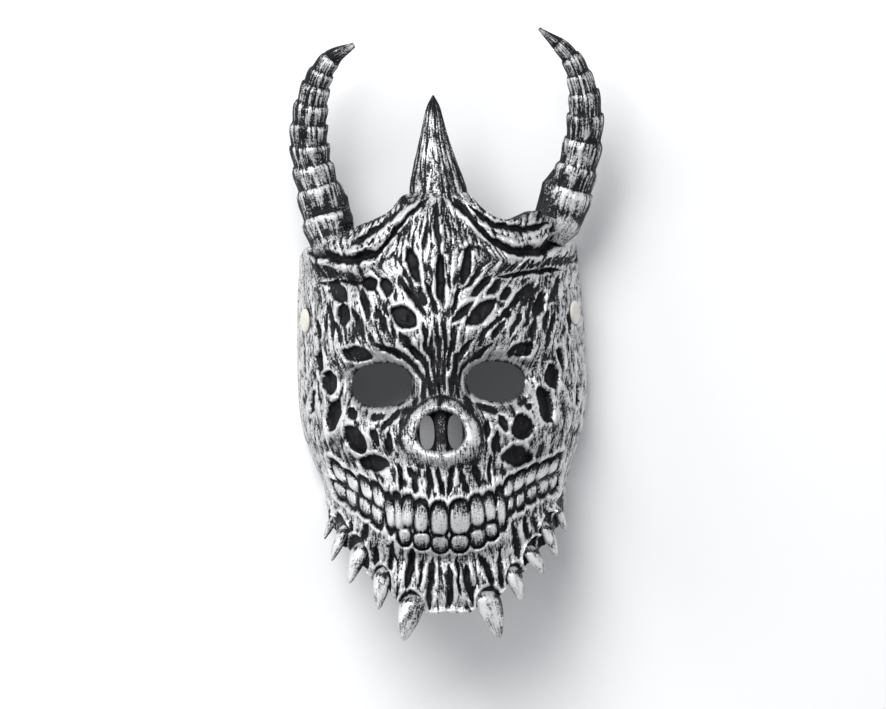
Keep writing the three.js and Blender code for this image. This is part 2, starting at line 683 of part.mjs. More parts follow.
// Draws corners of the skin together where that moves no facet further than the tolerance,
// shortest edges first; the skin stays closed and no facet turns over
function easeFacets(points, triangles, longest, tolerance) {
  const around = points.map(() => new Set());
  triangles.forEach((corners, t) => corners.forEach((p) => around[p].add(t)));
  const neighbours = (p) => new Set([...around[p]].flatMap((t) => triangles[t]).filter((q) => q !== p));
  const normalAt = (corners) => {
    const [a, b, c] = corners.map((p) => points[p]);
    return new THREE.Vector3().subVectors(b, a).cross(new THREE.Vector3().subVectors(c, a));
  };
  const moved = (corners, from, to) => corners.map((p) => (p === from ? to : p));
  const widthOf = (corners, normal) => {
    const [a, b, c] = corners.map((p) => points[p]);
    return normal.length() / Math.max(a.distanceTo(b), b.distanceTo(c), c.distanceTo(a));
  };
  const canMove = (from, to) => [...around[from]].every((t) => {
    const corners = triangles[t];
    const before = normalAt(corners);
    const size = before.length();
    const reach = new THREE.Vector3().subVectors(points[to], points[from]);
    if (size > tinyFacet && Math.abs(reach.dot(before)) / size > tolerance) return false;
    if (corners.includes(to)) return true;
    const next = moved(corners, from, to);
    const after = normalAt(next);
    if (widthOf(next, after) < Math.min(thinFacet, widthOf(corners, before))) return false;
    return size < tinyFacet || after.dot(before) > 0.7 * after.length() * size;
  });
  const edges = [];
  triangles.forEach((corners) => corners.forEach((a, i) => {
    const b = corners[(i + 1) % 3];
    const length = points[a].distanceTo(points[b]);
    if (a < b && length < longest) edges.push([length, a, b]);
  }));
  edges.sort((one, other) => one[0] - other[0]);
  for (const [, a, b] of edges) {
    const nearA = neighbours(a);
    const nearB = neighbours(b);
    const shared = [...nearA].filter((p) => nearB.has(p)).length;
    if (!nearA.has(b) || shared !== 2) continue;
    const [from, to] = canMove(a, b) ? [a, b] : [b, a];
    if (!canMove(from, to)) continue;
    for (const t of [...around[from]]) {
      const corners = triangles[t];
      if (corners.includes(to)) {
        corners.forEach((p) => around[p].delete(t));
        triangles[t] = [];
      } else {
        triangles[t] = moved(corners, from, to);
        around[to].add(t);
      }
    }
    around[from].clear();
  }
  return triangles.filter((corners) => corners.length === 3);
}

// One named mesh from a solid
function meshOf(name, solid, material) {
  const { vertProperties, triVerts } = solid.getMesh();
  const points = [];
  for (let i = 0; i < vertProperties.length; i += 3) {
    points.push(new THREE.Vector3(...vertProperties.slice(i, i + 3)));
  }
  let triangles = [];
  for (let i = 0; i < triVerts.length; i += 3) triangles.push([...triVerts.slice(i, i + 3)]);
  for (const longest of easeSteps) triangles = easeFacets(points, triangles, longest, easeTolerance);
  const geometry = new THREE.BufferGeometry();
  const places = new Float32Array(points.flatMap((point) => point.toArray()));
  geometry.setAttribute('position', new THREE.BufferAttribute(places, 3));
  geometry.setIndex(triangles.flat());
  const mesh = new THREE.Mesh(geometry, material);
  mesh.name = name;
  return mesh;
}

const matt = (color, roughness, metalness) =>
  new THREE.MeshStandardMaterial({ color, roughness, metalness });
const paintedRubber = () => matt(0x9a9c9e, 0.55, 0.4);
const ivoryPlastic = () => matt(0xdcd8cd, 0.4, 0);

const group = new THREE.Group();
group.name = 'horned_mask';
group.add(meshOf('mask', maskSolid(), paintedRubber()));
group.add(meshOf('rivet_left', rivetSolid(-1), ivoryPlastic()));
group.add(meshOf('rivet_right', rivetSolid(1), ivoryPlastic()));

// The whole part is set down with its middle over the origin and its edges on the ground
const box = new THREE.Box3().setFromObject(group);
const shift = new THREE.Vector3(-(box.min.x + box.max.x) / 2, -(box.min.y + box.max.y) / 2, -box.min.z);
for (const mesh of group.children) mesh.geometry.translate(shift.x, shift.y, shift.z);

export default group;
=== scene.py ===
import math

import bmesh
import bpy
import numpy as np
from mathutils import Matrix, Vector, kdtree


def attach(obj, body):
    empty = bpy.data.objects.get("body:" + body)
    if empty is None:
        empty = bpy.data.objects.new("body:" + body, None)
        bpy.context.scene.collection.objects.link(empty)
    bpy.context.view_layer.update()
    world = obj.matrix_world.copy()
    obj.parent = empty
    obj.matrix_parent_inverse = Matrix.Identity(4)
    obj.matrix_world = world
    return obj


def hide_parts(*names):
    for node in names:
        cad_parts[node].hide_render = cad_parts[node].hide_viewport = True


# Horned skull mask: cast foam rubber, black with silver dry-brushed over the high places.
# The face is worked out in millimetres, measured from the middle between the eyes:
# x to the right, y up to the horns, z out of the face from the edges that it lies on.

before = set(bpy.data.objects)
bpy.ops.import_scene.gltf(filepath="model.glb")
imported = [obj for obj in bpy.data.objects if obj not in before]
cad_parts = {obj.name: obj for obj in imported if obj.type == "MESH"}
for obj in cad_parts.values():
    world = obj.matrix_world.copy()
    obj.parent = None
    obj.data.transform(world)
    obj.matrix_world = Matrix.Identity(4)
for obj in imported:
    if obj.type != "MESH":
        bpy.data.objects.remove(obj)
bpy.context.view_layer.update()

millimetre = 0.001
faceMiddle = (7.312, 27.168)    # the middle of the whole box, as seen from between the eyes

shell = {
    "columns": 236,               # steps across the front; a multiple of backStep
    "rows": 304,                  # steps from the jaw up to the brow; a multiple of backStep
    "backStep": 4,                # the plain inside is this much coarser
    "wall": 6.5,
    "noseInside": 0.3,            # how much of the nose's rise the plain inside follows
    "plainDegrees": 9,            # the relief fades out before the back edges
    "flatEdgeTop": 72,
    "flatEdgeBottom": -60,
    "templeLift": 0.2,
    "jawLift": 1.1,
    "sideShift": 0.6,
    "unroll": 80,                 # millimetres of skin to a radian of turn
    "halfWidths": [(-132, 58), (-100, 62), (-84, 66), (-66, 67.8), (-56, 70), (-44, 74.5), (-27, 80),
                   (-8, 82.3), (20, 82.3), (42, 81.6), (60, 80.4), (80, 78.5), (110, 74)],
    "depths": [(-132, 90), (-115, 94), (-100, 96), (-88, 100), (-70, 103), (-45, 102),
               (-27, 99), (-8, 93), (8, 90), (30, 91), (50, 88), (70, 83), (90, 75), (110, 63)],
    "browLeft": [(0, 107), (14, 105.5), (20, 97), (27, 92.5), (37, 88), (46, 82), (66, 79), (80, 76),
                 (90, 69)],
    "browRight": [(0, 107), (14, 105.5), (20, 97), (26, 91.5), (33, 90), (40, 92.5), (48, 95),
                  (56, 92), (68, 90.5), (80, 86), (90, 75)],
    "jawEdge": [(0, -128.5), (12, -129), (27.5, -122), (46, -108.5), (60.5, -96), (75, -86), (90, -75)],
    "archHeight": 4, "archDegrees": 4.5, "archInward": 1.5,      # the jaw's edge at each fang
}

eyes = [
    {"x": -33.1, "y": -0.6, "across": 17.1, "up": 12.2, "tilt": 0.02},
    {"x": 30.8, "y": -0.6, "across": 16.2, "up": 11.2, "tilt": -0.1},
]
socketDepth = 11
ovalPower = 2.3                   # how square the eye openings are
eyeRim = {"place": 1.16, "width": 0.1, "height": 1.5, "paint": 0.95}

nose = {"x": -0.8, "y": -27.2, "across": 14, "up": 12, "narrowing": 0.14,
        "rise": 8, "recess": 8.5, "nostrilWidth": 8.2, "nostrilHeight": 19, "septum": 7.4,
        "rimPlace": 1.26, "rimWidth": 0.3, "rimHeight": 3.6, "barHeight": 4.6}
nosePaint = {"base": 0.85, "rim": 0.3, "worn": 0.7, "notch": 0.8, "crease": 1.1, "bar": 0.2}


def smooth(share):
    held = np.clip(share, 0, 1)
    return held * held * (3 - 2 * held)


# A smooth curve through a few stations (place, value)
def curveAt(stations, place):
    places = np.array([station[0] for station in stations], float)
    values = np.array([station[1] for station in stations], float)
    slopes = np.empty(len(places))
    slopes[1:-1] = (values[2:] - values[:-2]) / (places[2:] - places[:-2])
    slopes[0] = (values[1] - values[0]) / (places[1] - places[0])
    slopes[-1] = (values[-1] - values[-2]) / (places[-1] - places[-2])
    held = np.clip(place, places[0], places[-1])
    index = np.clip(np.searchsorted(places, held, side="right") - 1, 0, len(places) - 2)
    span = places[index + 1] - places[index]
    t = (held - places[index]) / span
    return ((2 * t**3 - 3 * t**2 + 1) * values[index] + (t**3 - 2 * t**2 + t) * span * slopes[index]
            + (3 * t**2 - 2 * t**3) * values[index + 1] + (t**3 - t**2) * span * slopes[index + 1])


def bell(value, middle, width):
    return np.exp(-((value - middle) / width) ** 2)


def hill(x, y, middleX, middleY, across, up):
    return bell(x, middleX, across) * bell(y, middleY, up)


# The broad forms of the skull, as (x, y, across, up, rise along z); what isn't in the middle
# stands on both sides
broadForms = [
    (50, -24, 16, 15, 5),         # cheekbones
    (47, -44, 17, 6, -8),         # hollows under them
    (32, 26, 22, 9, 3),           # brows
    (48, 72, 18, 9, 4), (50, 58, 14, 6, -3.5),
    (0, -74, 34, 16, 4),          # teeth
    (0, -99, 30, 7, -5),          # hollow above the chin
    (0, 96, 16, 14, 4),           # foot of the spike
]
noseHill = (21, 20)               # across and up


def broadForm(x, y, noseShare):
    rise = np.zeros_like(x)
    for eye in eyes:
        out = np.hypot((x - eye["x"]) / eye["across"], (y - eye["y"]) / eye["up"])
        rise -= socketDepth * (1 - smooth((out - 0.95) / 0.75))
    rise += noseShare * nose["rise"] * hill(x, y, nose["x"], nose["y"], *noseHill)
    for middleX, middleY, across, up, height in broadForms:
        for side in (-1, 1) if middleX else (1,):
            rise += height * hill(x, y, side * middleX, middleY, across, up)
    return rise


def edgeLift(y):
    above = np.maximum(y - shell["flatEdgeTop"], 0) * shell["templeLift"]
    below = np.maximum(shell["flatEdgeBottom"] - y, 0) * shell["jawLift"]
    return above + below


# A point of the face; turn runs from -90 to 90 degrees around it
def facePoint(turn, y, inset=0.0, noseShare=1.0):
    angle = np.radians(turn)
    half = curveAt(shell["halfWidths"], y) - inset
    low = edgeLift(y)
    x = half * np.sin(angle) + shell["sideShift"] * np.sin(angle) ** 2
    z = low + (curveAt(shell["depths"], y) - inset - low) * np.cos(angle)
    fade = smooth(np.cos(angle) / 0.5)
    return np.stack([x, y + 0 * x, z + fade * broadForm(x, y + 0 * x, noseShare)], axis=-1)


def turnAt(x, y):
    half = curveAt(shell["halfWidths"], y)
    ratio = (x - shell["sideShift"] * (x / half) ** 2) / half
    return np.degrees(np.arcsin(np.clip(ratio, -0.995, 0.995)))


# The way out of the face: straight out in front and sideways at the temples
def outward(turn):
    angle = np.radians(turn)
    out = np.stack([np.sin(angle) ** 3, 0 * angle, np.cos(angle)], axis=-1)
    return out / np.linalg.norm(out, axis=-1, keepdims=True)


# Fangs along the jaw, as (root x, root y, tip x, tip y, width)
fangs = [
    (-64.5, -77.5, -68.8, -87, 7), (-58, -82.4, -64.7, -98.7, 9.5), (-48.3, -91.8, -54.9, -111, 11),
    (-36, -106.2, -38.7, -125.6, 10), (-19.3, -121.3, -25.2, -143.4, 14),
    (22.4, -120.5, 28.2, -143.4, 14), (37.4, -107.4, 41.2, -123.4, 9.5), (47.5, -96.2, 54, -108.8, 10.5),
    (57, -83.8, 62.1, -100, 9.5), (64.4, -75.2, 68.1, -87, 7.5),
]


def topEdge(turn):
    left = curveAt(shell["browLeft"], np.abs(turn))
    right = curveAt(shell["browRight"], np.abs(turn))
    return np.where(turn < 0, left, right)


# The jaw's edge rises in a low arch at each fang, a little to the middle of its root
def bottomEdge(turn):
    edge = curveAt(shell["jawEdge"], np.abs(turn))
    for rootX, rootY, tipX, tipY, width in fangs:
        middle = turnAt(np.array(rootX), np.array(rootY)) - math.copysign(shell["archInward"], rootX)
        edge += shell["archHeight"] * bell(turn, middle, shell["archDegrees"])
    return edge


# Repeatable value noise over the skin, from -1 to 1
def skinNoise(u, v, seed):
    def corner(i, j):
        mixed = (i * 374761393 + j * 668265263 + seed * 974634777) & 0x7FFFFFFF
        mixed = ((mixed ^ (mixed >> 13)) * 1274126177) & 0x7FFFFFFF
        return ((mixed ^ (mixed >> 16)) & 0xFFFF) / 32767.5 - 1
    i = np.floor(u).astype(np.int64)
    j = np.floor(v).astype(np.int64)
    a = smooth(u - i)
    b = smooth(v - j)
    low = corner(i, j) * (1 - a) + corner(i + 1, j) * a
    high = corner(i, j + 1) * (1 - a) + corner(i + 1, j + 1) * a
    return low * (1 - b) + high * b


def unrolled(x, y):
    return np.radians(turnAt(x, y)) * shell["unroll"]


# A straight stroke on the unrolled skin: where it starts and ends across, its length and its way
def strokeOf(x1, y1, x2, y2):
    q1, q2 = float(unrolled(x1, y1)), float(unrolled(x2, y2))
    length = math.hypot(q2 - q1, y2 - y1)
    return q1, q2, length, (q2 - q1) / length, (y2 - y1) / length


# How much wider than it looks from the front the skin is at a place
def spread(x, y):
    angle = np.radians(turnAt(x, y))
    return shell["unroll"] / curveAt(shell["halfWidths"], y) / np.maximum(np.cos(angle), 0.34)


# How every pit and groove is shaped and painted, in millimetres and shares of the paint
pitShape = {
    "sides": 1.7, "ends": 2.1, "round": 1.9,      # powers of the leaf outline
    "foot": 1.1, "wall": 1.6,
    "rimHeight": 0.55, "rimPlace": 1.1, "rimWidth": 0.8,
    "shade": 0.7, "shadeFade": 0.9,
    "wornPaint": 0.2, "wornPlace": 0.8, "wornWidth": 0.45,
}
grooveShape = {
    "taper": 5, "endWidth": 0.12, "waver": 0.2,
    "steepness": 1.2, "darkness": 1.02,
    "border": 0.25, "borderPlace": 1.9, "borderWidth": 0.5, "paintPlace": 1.8, "paintWidth": 0.4,
}
ridgeShape = {"taper": 6, "endWidth": 0.1, "steepness": 1.1}


# How wide a stroke still is at a share of its length: it runs out at both ends
def taperAt(share, shape):
    return np.clip(np.minimum(share, 1 - share) * shape["taper"], shape["endWidth"], 1) ** 0.5


# The unrolled skin of the face with its relief and its paint. Places are given as they
# look from the front and are carried over onto the unrolled skin.
class Skin:
    def __init__(self, turn, y):
        self.turn = turn
        self.q = np.radians(turn) * shell["unroll"]
        self.y = y
        self.x = facePoint(turn, y)[..., 0]
        self.warpedQ = self.q + self.noise(7, 43, 0.9) + self.noise(3, 47, 0.4)
        self.warpedY = y + self.noise(7, 53, 0.9) + self.noise(3, 59, 0.4)
        self.rise = np.zeros_like(turn)
        self.paint = np.ones_like(turn)
        self.even = np.zeros_like(turn)      # where the brush covers high and low alike

    def noise(self, size, seed, height=1.0):
        return height * skinNoise(self.q / size, self.y / size, seed)

    # Distance from a path, in half widths, and how far along it, from 0 to 1
    def alongPath(self, path, width):
        strokes = [strokeOf(*a, *b) for a, b in zip(path, path[1:])]
        total = sum(stroke[2] for stroke in strokes)
        nearest = np.full(self.q.shape, 1e9)
        share = np.zeros(self.q.shape)
        done = 0.0
        for (q1, _, length, stepQ, stepY), (_, y1) in zip(strokes, path):
            reach = np.clip((self.warpedQ - q1) * stepQ + (self.warpedY - y1) * stepY, 0, length)
            away = np.hypot(self.warpedQ - q1 - reach * stepQ, self.warpedY - y1 - reach * stepY)
            share = np.where(away < nearest, (done + reach) / total, share)
            nearest = np.minimum(away, nearest)
            done += length
        tall = abs(path[-1][1] - path[0][1])
        upright = tall / (math.hypot(strokes[-1][1] - strokes[0][0], tall) + 0.001)
        wide = 1 + (float(spread(*path[len(path) // 2])) - 1) * upright
        return nearest / (width / 2 * wide), share

    # A leaf-shaped pit from one end to the other, steep-sided, with a worn bright rim
    def pit(self, x1, y1, x2, y2, width, depth):
        shape = pitShape
        q1, q2, length, stepQ, stepY = strokeOf(x1, y1, x2, y2)
        wide = float(spread((x1 + x2) / 2, (y1 + y2) / 2))
        half = width / 2 * (1 + (wide - 1) * abs(stepY))
        dq, dy = self.warpedQ - (q1 + q2) / 2, self.warpedY - (y1 + y2) / 2
        along = np.abs(dq * stepQ + dy * stepY) / (length / 2)
        across = np.abs(dy * stepQ - dq * stepY) / half
        out = (across ** shape["sides"] + along ** shape["ends"]) ** (1 / shape["round"])
        edge = (out - 1) * half                     # millimetres outside the pit's edge
        inside = 1 - smooth((edge + shape["foot"]) / shape["wall"])
        self.rise = self.rise * (1 - inside) - depth * inside
        self.rise += shape["rimHeight"] * bell(edge, shape["rimPlace"], shape["rimWidth"])
        self.paint = self.paint * smooth((edge + shape["shade"]) / shape["shadeFade"])
        self.paint += shape["wornPaint"] * bell(edge, shape["wornPlace"], shape["wornWidth"])

    # A groove between two low worn borders
    def groove(self, path, width, depth, dark=1.0, border=1.0):
        shape = grooveShape
        away, share = self.alongPath(path, width)
        taper = taperAt(share, shape)
        away = away / taper * (1 + self.noise(3, 11, shape["waver"]))
        worn = shape["border"] * border
        self.rise -= depth * taper * np.exp(-(away ** 2) * shape["steepness"])
        self.rise += worn * depth * taper * bell(away, shape["borderPlace"], shape["borderWidth"])
        self.paint = self.paint * (1 - dark * np.exp(-(away * shape["darkness"]) ** 4))
        self.paint += worn * dark * bell(away, shape["paintPlace"], shape["paintWidth"])

    def ridge(self, path, width, height, bright):
        away, share = self.alongPath(path, width)
        taper = taperAt(share, ridgeShape)
        hump = np.exp(-(away / taper) ** 2 * ridgeShape["steepness"])
        self.rise += height * hump * taper
        self.paint += bright * hump * taper


# Pits and slots in the brow and forehead, as (x, y to x, y, width, depth)
browPits = [
    (-15.4, 76, -10.9, 56, 6.2, 3.6), (18.5, 76, 13.1, 55, 6.2, 3.6), (1.1, 72, 1.8, 43, 5.4, 3.8),
    (-6.2, 85, -6.5, 73.5, 2.8, 1.8), (-61.7, 57, -51.3, 47, 8.5, 3), (-54.2, 45.5, -52.8, 33, 8, 3),
    (-31, 58, -26.6, 49, 6, 2.8), (-26, 42.5, -13.5, 31.5, 12.3, 4), (-55.5, 18.5, -37.5, 15.5, 8.2, 3.2),
    (13.6, 51, 24.9, 62, 2.8, 2), (18.8, 47.5, 30.2, 58.5, 3.6, 2.4), (28, 48, 35.1, 56, 3.8, 2.2),
    (34, 45.5, 40.3, 51.5, 5.2, 2.6), (30.5, 45, 16, 31.5, 8.6, 4), (19.5, 44, 7.6, 34, 4.4, 2.6),
    (37.6, 40, 37.5, 35, 4.6, 2.4), (54, 54, 39.4, 41, 4.6, 2.6), (59.2, 49, 53.8, 34, 5, 2.6),
    (53, 19, 37.2, 14.6, 8.6, 3.2), (-2, 105.4, 3.2, 105.4, 3.6, 3), (-42, 58.5, -33.5, 55, 7, 3.4),
]

# Pits in the cheeks and the sides of the face
cheekPits = [
    (-62.3, 8.5, -63.7, -5.5, 9, 3.6), (-57.5, -8, -64.3, -25.5, 8.4, 3.8),
    (-50.3, -12, -50.2, -19.5, 6.2, 3), (-54.4, -23.5, -43.5, -38, 11, 3.8),
    (-40, -18.2, -32, -18.2, 3.4, 2), (-33.9, -25.5, -23.3, -15.5, 3.6, 2.4),
    (-38.6, -25, -35.7, -35.5, 3.6, 2), (-30.6, -27.5, -28.3, -39.3, 4.2, 2.4),
    (-22.9, -20, -22.5, -28, 2.2, 1.6), (60.6, 8.5, 65.1, -5.5, 8, 3.6), (54.8, -5, 61.8, -24.5, 9.4, 4),
    (42, -12, 49.2, -12, 6.7, 3), (43, -19, 46.6, -33.5, 11, 3.8), (32.5, -20, 36.2, -28.5, 4.8, 2.6),
    (19.3, -11.6, 31.4, -19, 4.6, 2.6), (25.4, -22, 25.7, -31, 3.2, 2), (30.6, -28, 28.1, -40.5, 3.6, 2),
    (47, -15.5, 50.8, -15.5, 3.2, 1.6), (-47, -44, -29.5, -44.6, 9.5, 2.6), (33, -42, 50, -43, 11, 2.6),
    (-68.4, 20, -68.3, 5, 4, 2.6), (-71.7, -2, -73.4, -16, 3.4, 2.6), (-74.6, 17, -74.8, 7.5, 1.4, 1.6),
    (67.3, 18, 69.2, 5, 4.4, 2.8), (77.8, -2.5, 76.5, -17, 2.6, 2.4), (77.5, 11, 78.6, 4, 1.6, 1.6),
    (-68.2, 37, -68.5, 26, 3.4, 2.2), (73.1, 37, 74.2, 22.5, 2.8, 2.2),
]

# Grooves of the brow, as (x, y to x, y, width)
browGrooves = [
    (-6.8, 56, -1.1, 38, 3), (-11.3, 54, -7.6, 43.5, 3), (-42.7, 54.5, -40.4, 35.5, 3.6),
    (-35.2, 43, -31, 28.5, 4), (-31.1, 48, -24.4, 22, 2.4), (-48.6, 44, -41.7, 24, 3),
    (-62.6, 47, -59.3, 25, 2.4), (-59.5, 36.5, -55.2, 23, 2.4), (-23.4, 61, -7.2, 38.5, 3.6),
    (-19.9, 66, -8.8, 42.5, 2.4), (-22.4, 27.5, -9.5, 11.5, 4.6), (-36, 23, -20, 14, 3.4),
    (43.9, 45.5, 19.8, 22.5, 2.6), (36.9, 34.5, 29.7, 23.5, 3), (55.8, 52.8, 46.5, 41.2, 3.4),
    (45.1, 38.2, 39.3, 24.5, 3), (53.8, 47.7, 48, 29, 2.6), (54.5, 33, 51, 24, 3.2),
    (60.7, 38, 59, 25.8, 2.4), (68.5, 57.5, 62.5, 42.4, 3.4), (65.7, 38, 58.7, 16.8, 2.4),
    (4, 70, 6.5, 52, 1.8), (12, 52, 6, 36, 2.2), (-17, 52, -10, 42, 1.8),
]

# The arched brow: each side's bands, as (path, width, height, brightness)
browRidges = [
    ([(-18.3, 101), (-26.9, 93), (-37.2, 88), (-48.6, 82.5), (-59.9, 79), (-72, 77.5)], 6.5, 2.4, 0.15),
    ([(-13, 99.5), (-21, 94), (-27.4, 87.2), (-34.7, 81.2), (-41.9, 76.6), (-50.5, 72.6)], 7.4, 3.6, 0.5),
    ([(-24, 87.5), (-32, 80.5), (-40, 75.5), (-48, 73)], 1.8, 1, 0.6),
    ([(-10.5, 97.5), (-16, 92.5), (-21.5, 86.5), (-26.5, 78.5), (-32, 73.3), (-38, 69.6)], 2, 1.3, 0.7),
    ([(-38, 69.6), (-43.2, 66.2), (-49.3, 66.7), (-59.3, 69.7), (-71, 72.2)], 2.2, 1.3, 0.6),
    ([(18.2, 101), (24.7, 95.5), (32.6, 90.2), (41, 88.4), (48, 89.4), (57, 91.2)], 6, 2.2, 0.2),
    ([(13.5, 96), (22.5, 86), (31, 81), (39.5, 78), (46.5, 76.4), (53, 78), (63, 83), (72, 86.4)],
     6.4, 2.6, 0.1),
    ([(12.5, 99), (22.4, 89), (31.3, 84.2), (39.4, 81.6), (46.4, 79.8), (52.5, 81.2), (62.8, 86.2),
      (71, 88.7)], 2.2, 1.8, 0.9),
    ([(8.2, 98.6), (16.4, 91), (23.5, 83), (31.1, 76), (40, 69.8), (47.1, 67.8), (57.2, 68.2), (63.4, 71),
      (71.6, 76.3), (79, 79.5)], 2.6, 2, 1),
    ([(-71.5, 70.2), (-62.4, 66.4), (-52.4, 63), (-44, 60)], 10, 1, 0.3),      # the wings under the arches
    ([(44, 62.5), (56, 65), (66, 69), (76, 73.5)], 9, 1.2, 0.45),
]
archGrooves = [
    ([(-3.6, 104.2), (-10.8, 98.6), (-19.2, 90.3), (-25.5, 82.5), (-31.8, 75.4)], 2.4, 2.2),
    ([(-28, 79), (-34, 73.6), (-40, 70.8), (-47.2, 69), (-54, 70.8), (-63, 73), (-73, 74.8)], 5, 3.4),
    ([(-19.5, 98.4), (-26.2, 91.3), (-34.5, 86.4), (-42, 81), (-48, 77.6)], 3, 2),
    ([(4.6, 104.7), (13.5, 98.1), (22.3, 87.2), (30.2, 78.4)], 3.6, 3),
    ([(26, 83), (32, 77), (40, 72.8), (47.1, 71.2), (57.3, 72), (66.5, 76.6), (77, 83.4)], 6, 4),
    ([(18, 99), (25.5, 92.5), (32.5, 87.4), (40.5, 84.9), (47.5, 83.8), (54.7, 85.2), (63, 88.4)], 2.8, 2),
    ([(34, 57.6), (45, 59.4), (56, 60.6), (69, 61.2)], 2.4, 2.4),
    ([(-68, 57), (-57, 58.5), (-47, 57), (-40, 57.5)], 2, 1.4),
]

# Rows of short strokes over the brow's bands and wings, each stroke one step further than the
# last, as (count, start, step, stroke, width, depth)
browHatching = [
    (16, (-20, 102.4), (-3.4, -1.66), (1.4, -5.6), 1.2, 0.8),
    (9, (24, 97.5), (3.4, -0.9), (-1.6, -4.6), 1.1, 0.7),
    (10, (-22, 91.5), (-2.9, -1.9), (2.6, -4.2), 1, 0.7),
    (13, (24, 85.5), (3.6, -0.15), (2.4, -5.2), 1, 0.7),
    (16, (-72.5, 70.4), (2.05, -0.62), (7.2, -10), 1.3, 1.1),
    (17, (38, 60), (2.5, 0.3), (7.4, 7.2), 1.2, 1),
]
hatchPaint = {"dark": 0.8, "border": 0.1, "sway": 0.8}


def hatch(skin, count, start, step, stroke, width, depth):
    for i in range(count):
        x, y = start[0] + i * step[0], start[1] + i * step[1]
        sway = hatchPaint["sway"] * math.sin(2.4 * i)
        middle = (x + stroke[0] / 2 + 0.4, y + stroke[1] / 2 + sway / 2)
        path = [(x + sway / 2, y), middle, (x + stroke[0], y + stroke[1] + sway)]
        skin.groove(path, width, depth, hatchPaint["dark"], hatchPaint["border"])


foreheadLine = [(0.5, 102), (0.4, 88), (0.7, 72)]

# Fine upright strokes in the middle of the forehead, fanning out from the spike's foot
foreheadStrokes = {"count": 14, "gap": 1.45, "top": 101.5, "drop": 1.2, "length": 17, "waver": 6,
                   "width": 0.9, "depth": 0.7}


def carveForehead(skin, side):
    strokes = foreheadStrokes
    for i in range(1, strokes["count"] + 1):
        x, top = side * strokes["gap"] * i, strokes["top"] - strokes["drop"] * i
        low = top - strokes["length"] + strokes["waver"] * math.sin(3.1 * i + side)
        path = [(x, top), (1.1 * x, (top + low) / 2), (1.16 * x + 0.4 * side, low)]
        skin.groove(path, strokes["width"], strokes["depth"], 0.75, 0.1)


# How a row of grooves is cut: a share of its stated width, and a depth that grows with the width
browCut = {"width": 0.95, "depth": 1, "deeper": 0.34, "dark": 0.92, "border": 0.6}
chinCut = {"width": 0.9, "depth": 1.6, "deeper": 0.28, "dark": 0.95, "border": 1}
ridgePaint = {"most": 0.55, "less": 0.1}


def cutGroove(skin, path, width, cut):
    depth = cut["depth"] + cut["deeper"] * width
    skin.groove(path, cut["width"] * width, depth, cut["dark"], cut["border"])


def carveBrow(skin):
    for path, width, height, bright in browRidges:
        skin.ridge(path, width, height, ridgePaint["most"] * bright - ridgePaint["less"])
    for row in browHatching:
        hatch(skin, *row)
    for side in (-1, 1):
        carveForehead(skin, side)
    for path, width, depth in archGrooves:
        skin.groove(path, width, depth)
    for x1, y1, x2, y2, width in browGrooves:
        middle = ((x1 + x2) / 2 + 0.4, (y1 + y2) / 2)
        cutGroove(skin, [(x1, y1), middle, (x2, y2)], width, browCut)
    skin.groove(foreheadLine, 2.6, 2)
    for pit in browPits:
        skin.pit(*pit)


# Grooves that gather at the root of the nose and bend out over each eye, as (path, width)
noseFan = [
    ([(-36, 22), (-20.7, 15.7), (-13.9, 8.6), (-9.9, 0.6), (-10.3, -11.2)], 3.4),
    ([(-19.9, 26.4), (-12.6, 17.2), (-7.6, 8.6), (-5.4, -10.1)], 3),
    ([(-16.2, 4.9), (-13.8, -3.7), (-16.2, -12.5)], 3.4),
    ([(29.4, 20.9), (16, 11.2), (12.2, 7.3), (8.7, 0.3), (9.5, -9)], 3.4),
    ([(18, 24), (10, 14), (6, 2), (5.5, -9)], 2.6),
    ([(14.4, 7.3), (12.4, 0.8), (13.8, -8.4), (17.4, -17.1)], 3.4),
    ([(-1.4, 32), (-0.4, 12), (-0.6, -7)], 2.6),
    ([(3.4, 36), (3, 18), (2, -4)], 2.2),
    ([(-4.6, 30), (-3.6, 12), (-3, -6)], 2.2),
    ([(-9.6, 34), (-6.8, 20), (-4.4, 8)], 2.4),
    ([(9, 32), (6.8, 20), (4.2, 6)], 2.4),
]


def carveNoseFan(skin):
    for path, width in noseFan:
        skin.groove(path, width, 1.9)


# The fold over each eye, a smooth silver lid, and the arched hollow over the side teeth
lidFolds = [[(-54, 12.5), (-44, 15.5), (-33, 16.2), (-22, 13), (-15, 7)],
            [(51, 11), (42, 14.5), (31, 15.5), (20, 12.5), (12.5, 6.5)]]
cheekArches = [[(-49, -42), (-44, -38.5), (-36, -38), (-30, -42), (-28, -48)],
               [(31.5, -48), (32.5, -40), (38, -35.5), (45, -37), (51, -43)]]
lidFold = {"width": 5, "height": 1.4, "bright": 0.55}
cheekArch = {"width": 2, "height": 1, "bright": 0.5}


def carveFolds(skin):
    for path in lidFolds:
        skin.ridge(path, **lidFold)
    for path in cheekArches:
        skin.ridge(path, **cheekArch)


def carveEyes(skin):
    for eye in eyes:
        cos, sin = math.cos(eye["tilt"]), math.sin(eye["tilt"])
        across = ((skin.x - eye["x"]) * cos + (skin.y - eye["y"]) * sin) / eye["across"]
        up = (-(skin.x - eye["x"]) * sin + (skin.y - eye["y"]) * cos) / eye["up"]
        out = (np.abs(across) ** ovalPower + np.abs(up) ** ovalPower) ** (1 / ovalPower)
        near = bell(out, eyeRim["place"], eyeRim["width"])
        skin.rise = skin.rise * smooth((out - 0.98) / 0.2) + eyeRim["height"] * near
        skin.paint = np.maximum(skin.paint, eyeRim["paint"] * near)
        skin.paint = skin.paint * smooth((out - 0.94) / 0.1)


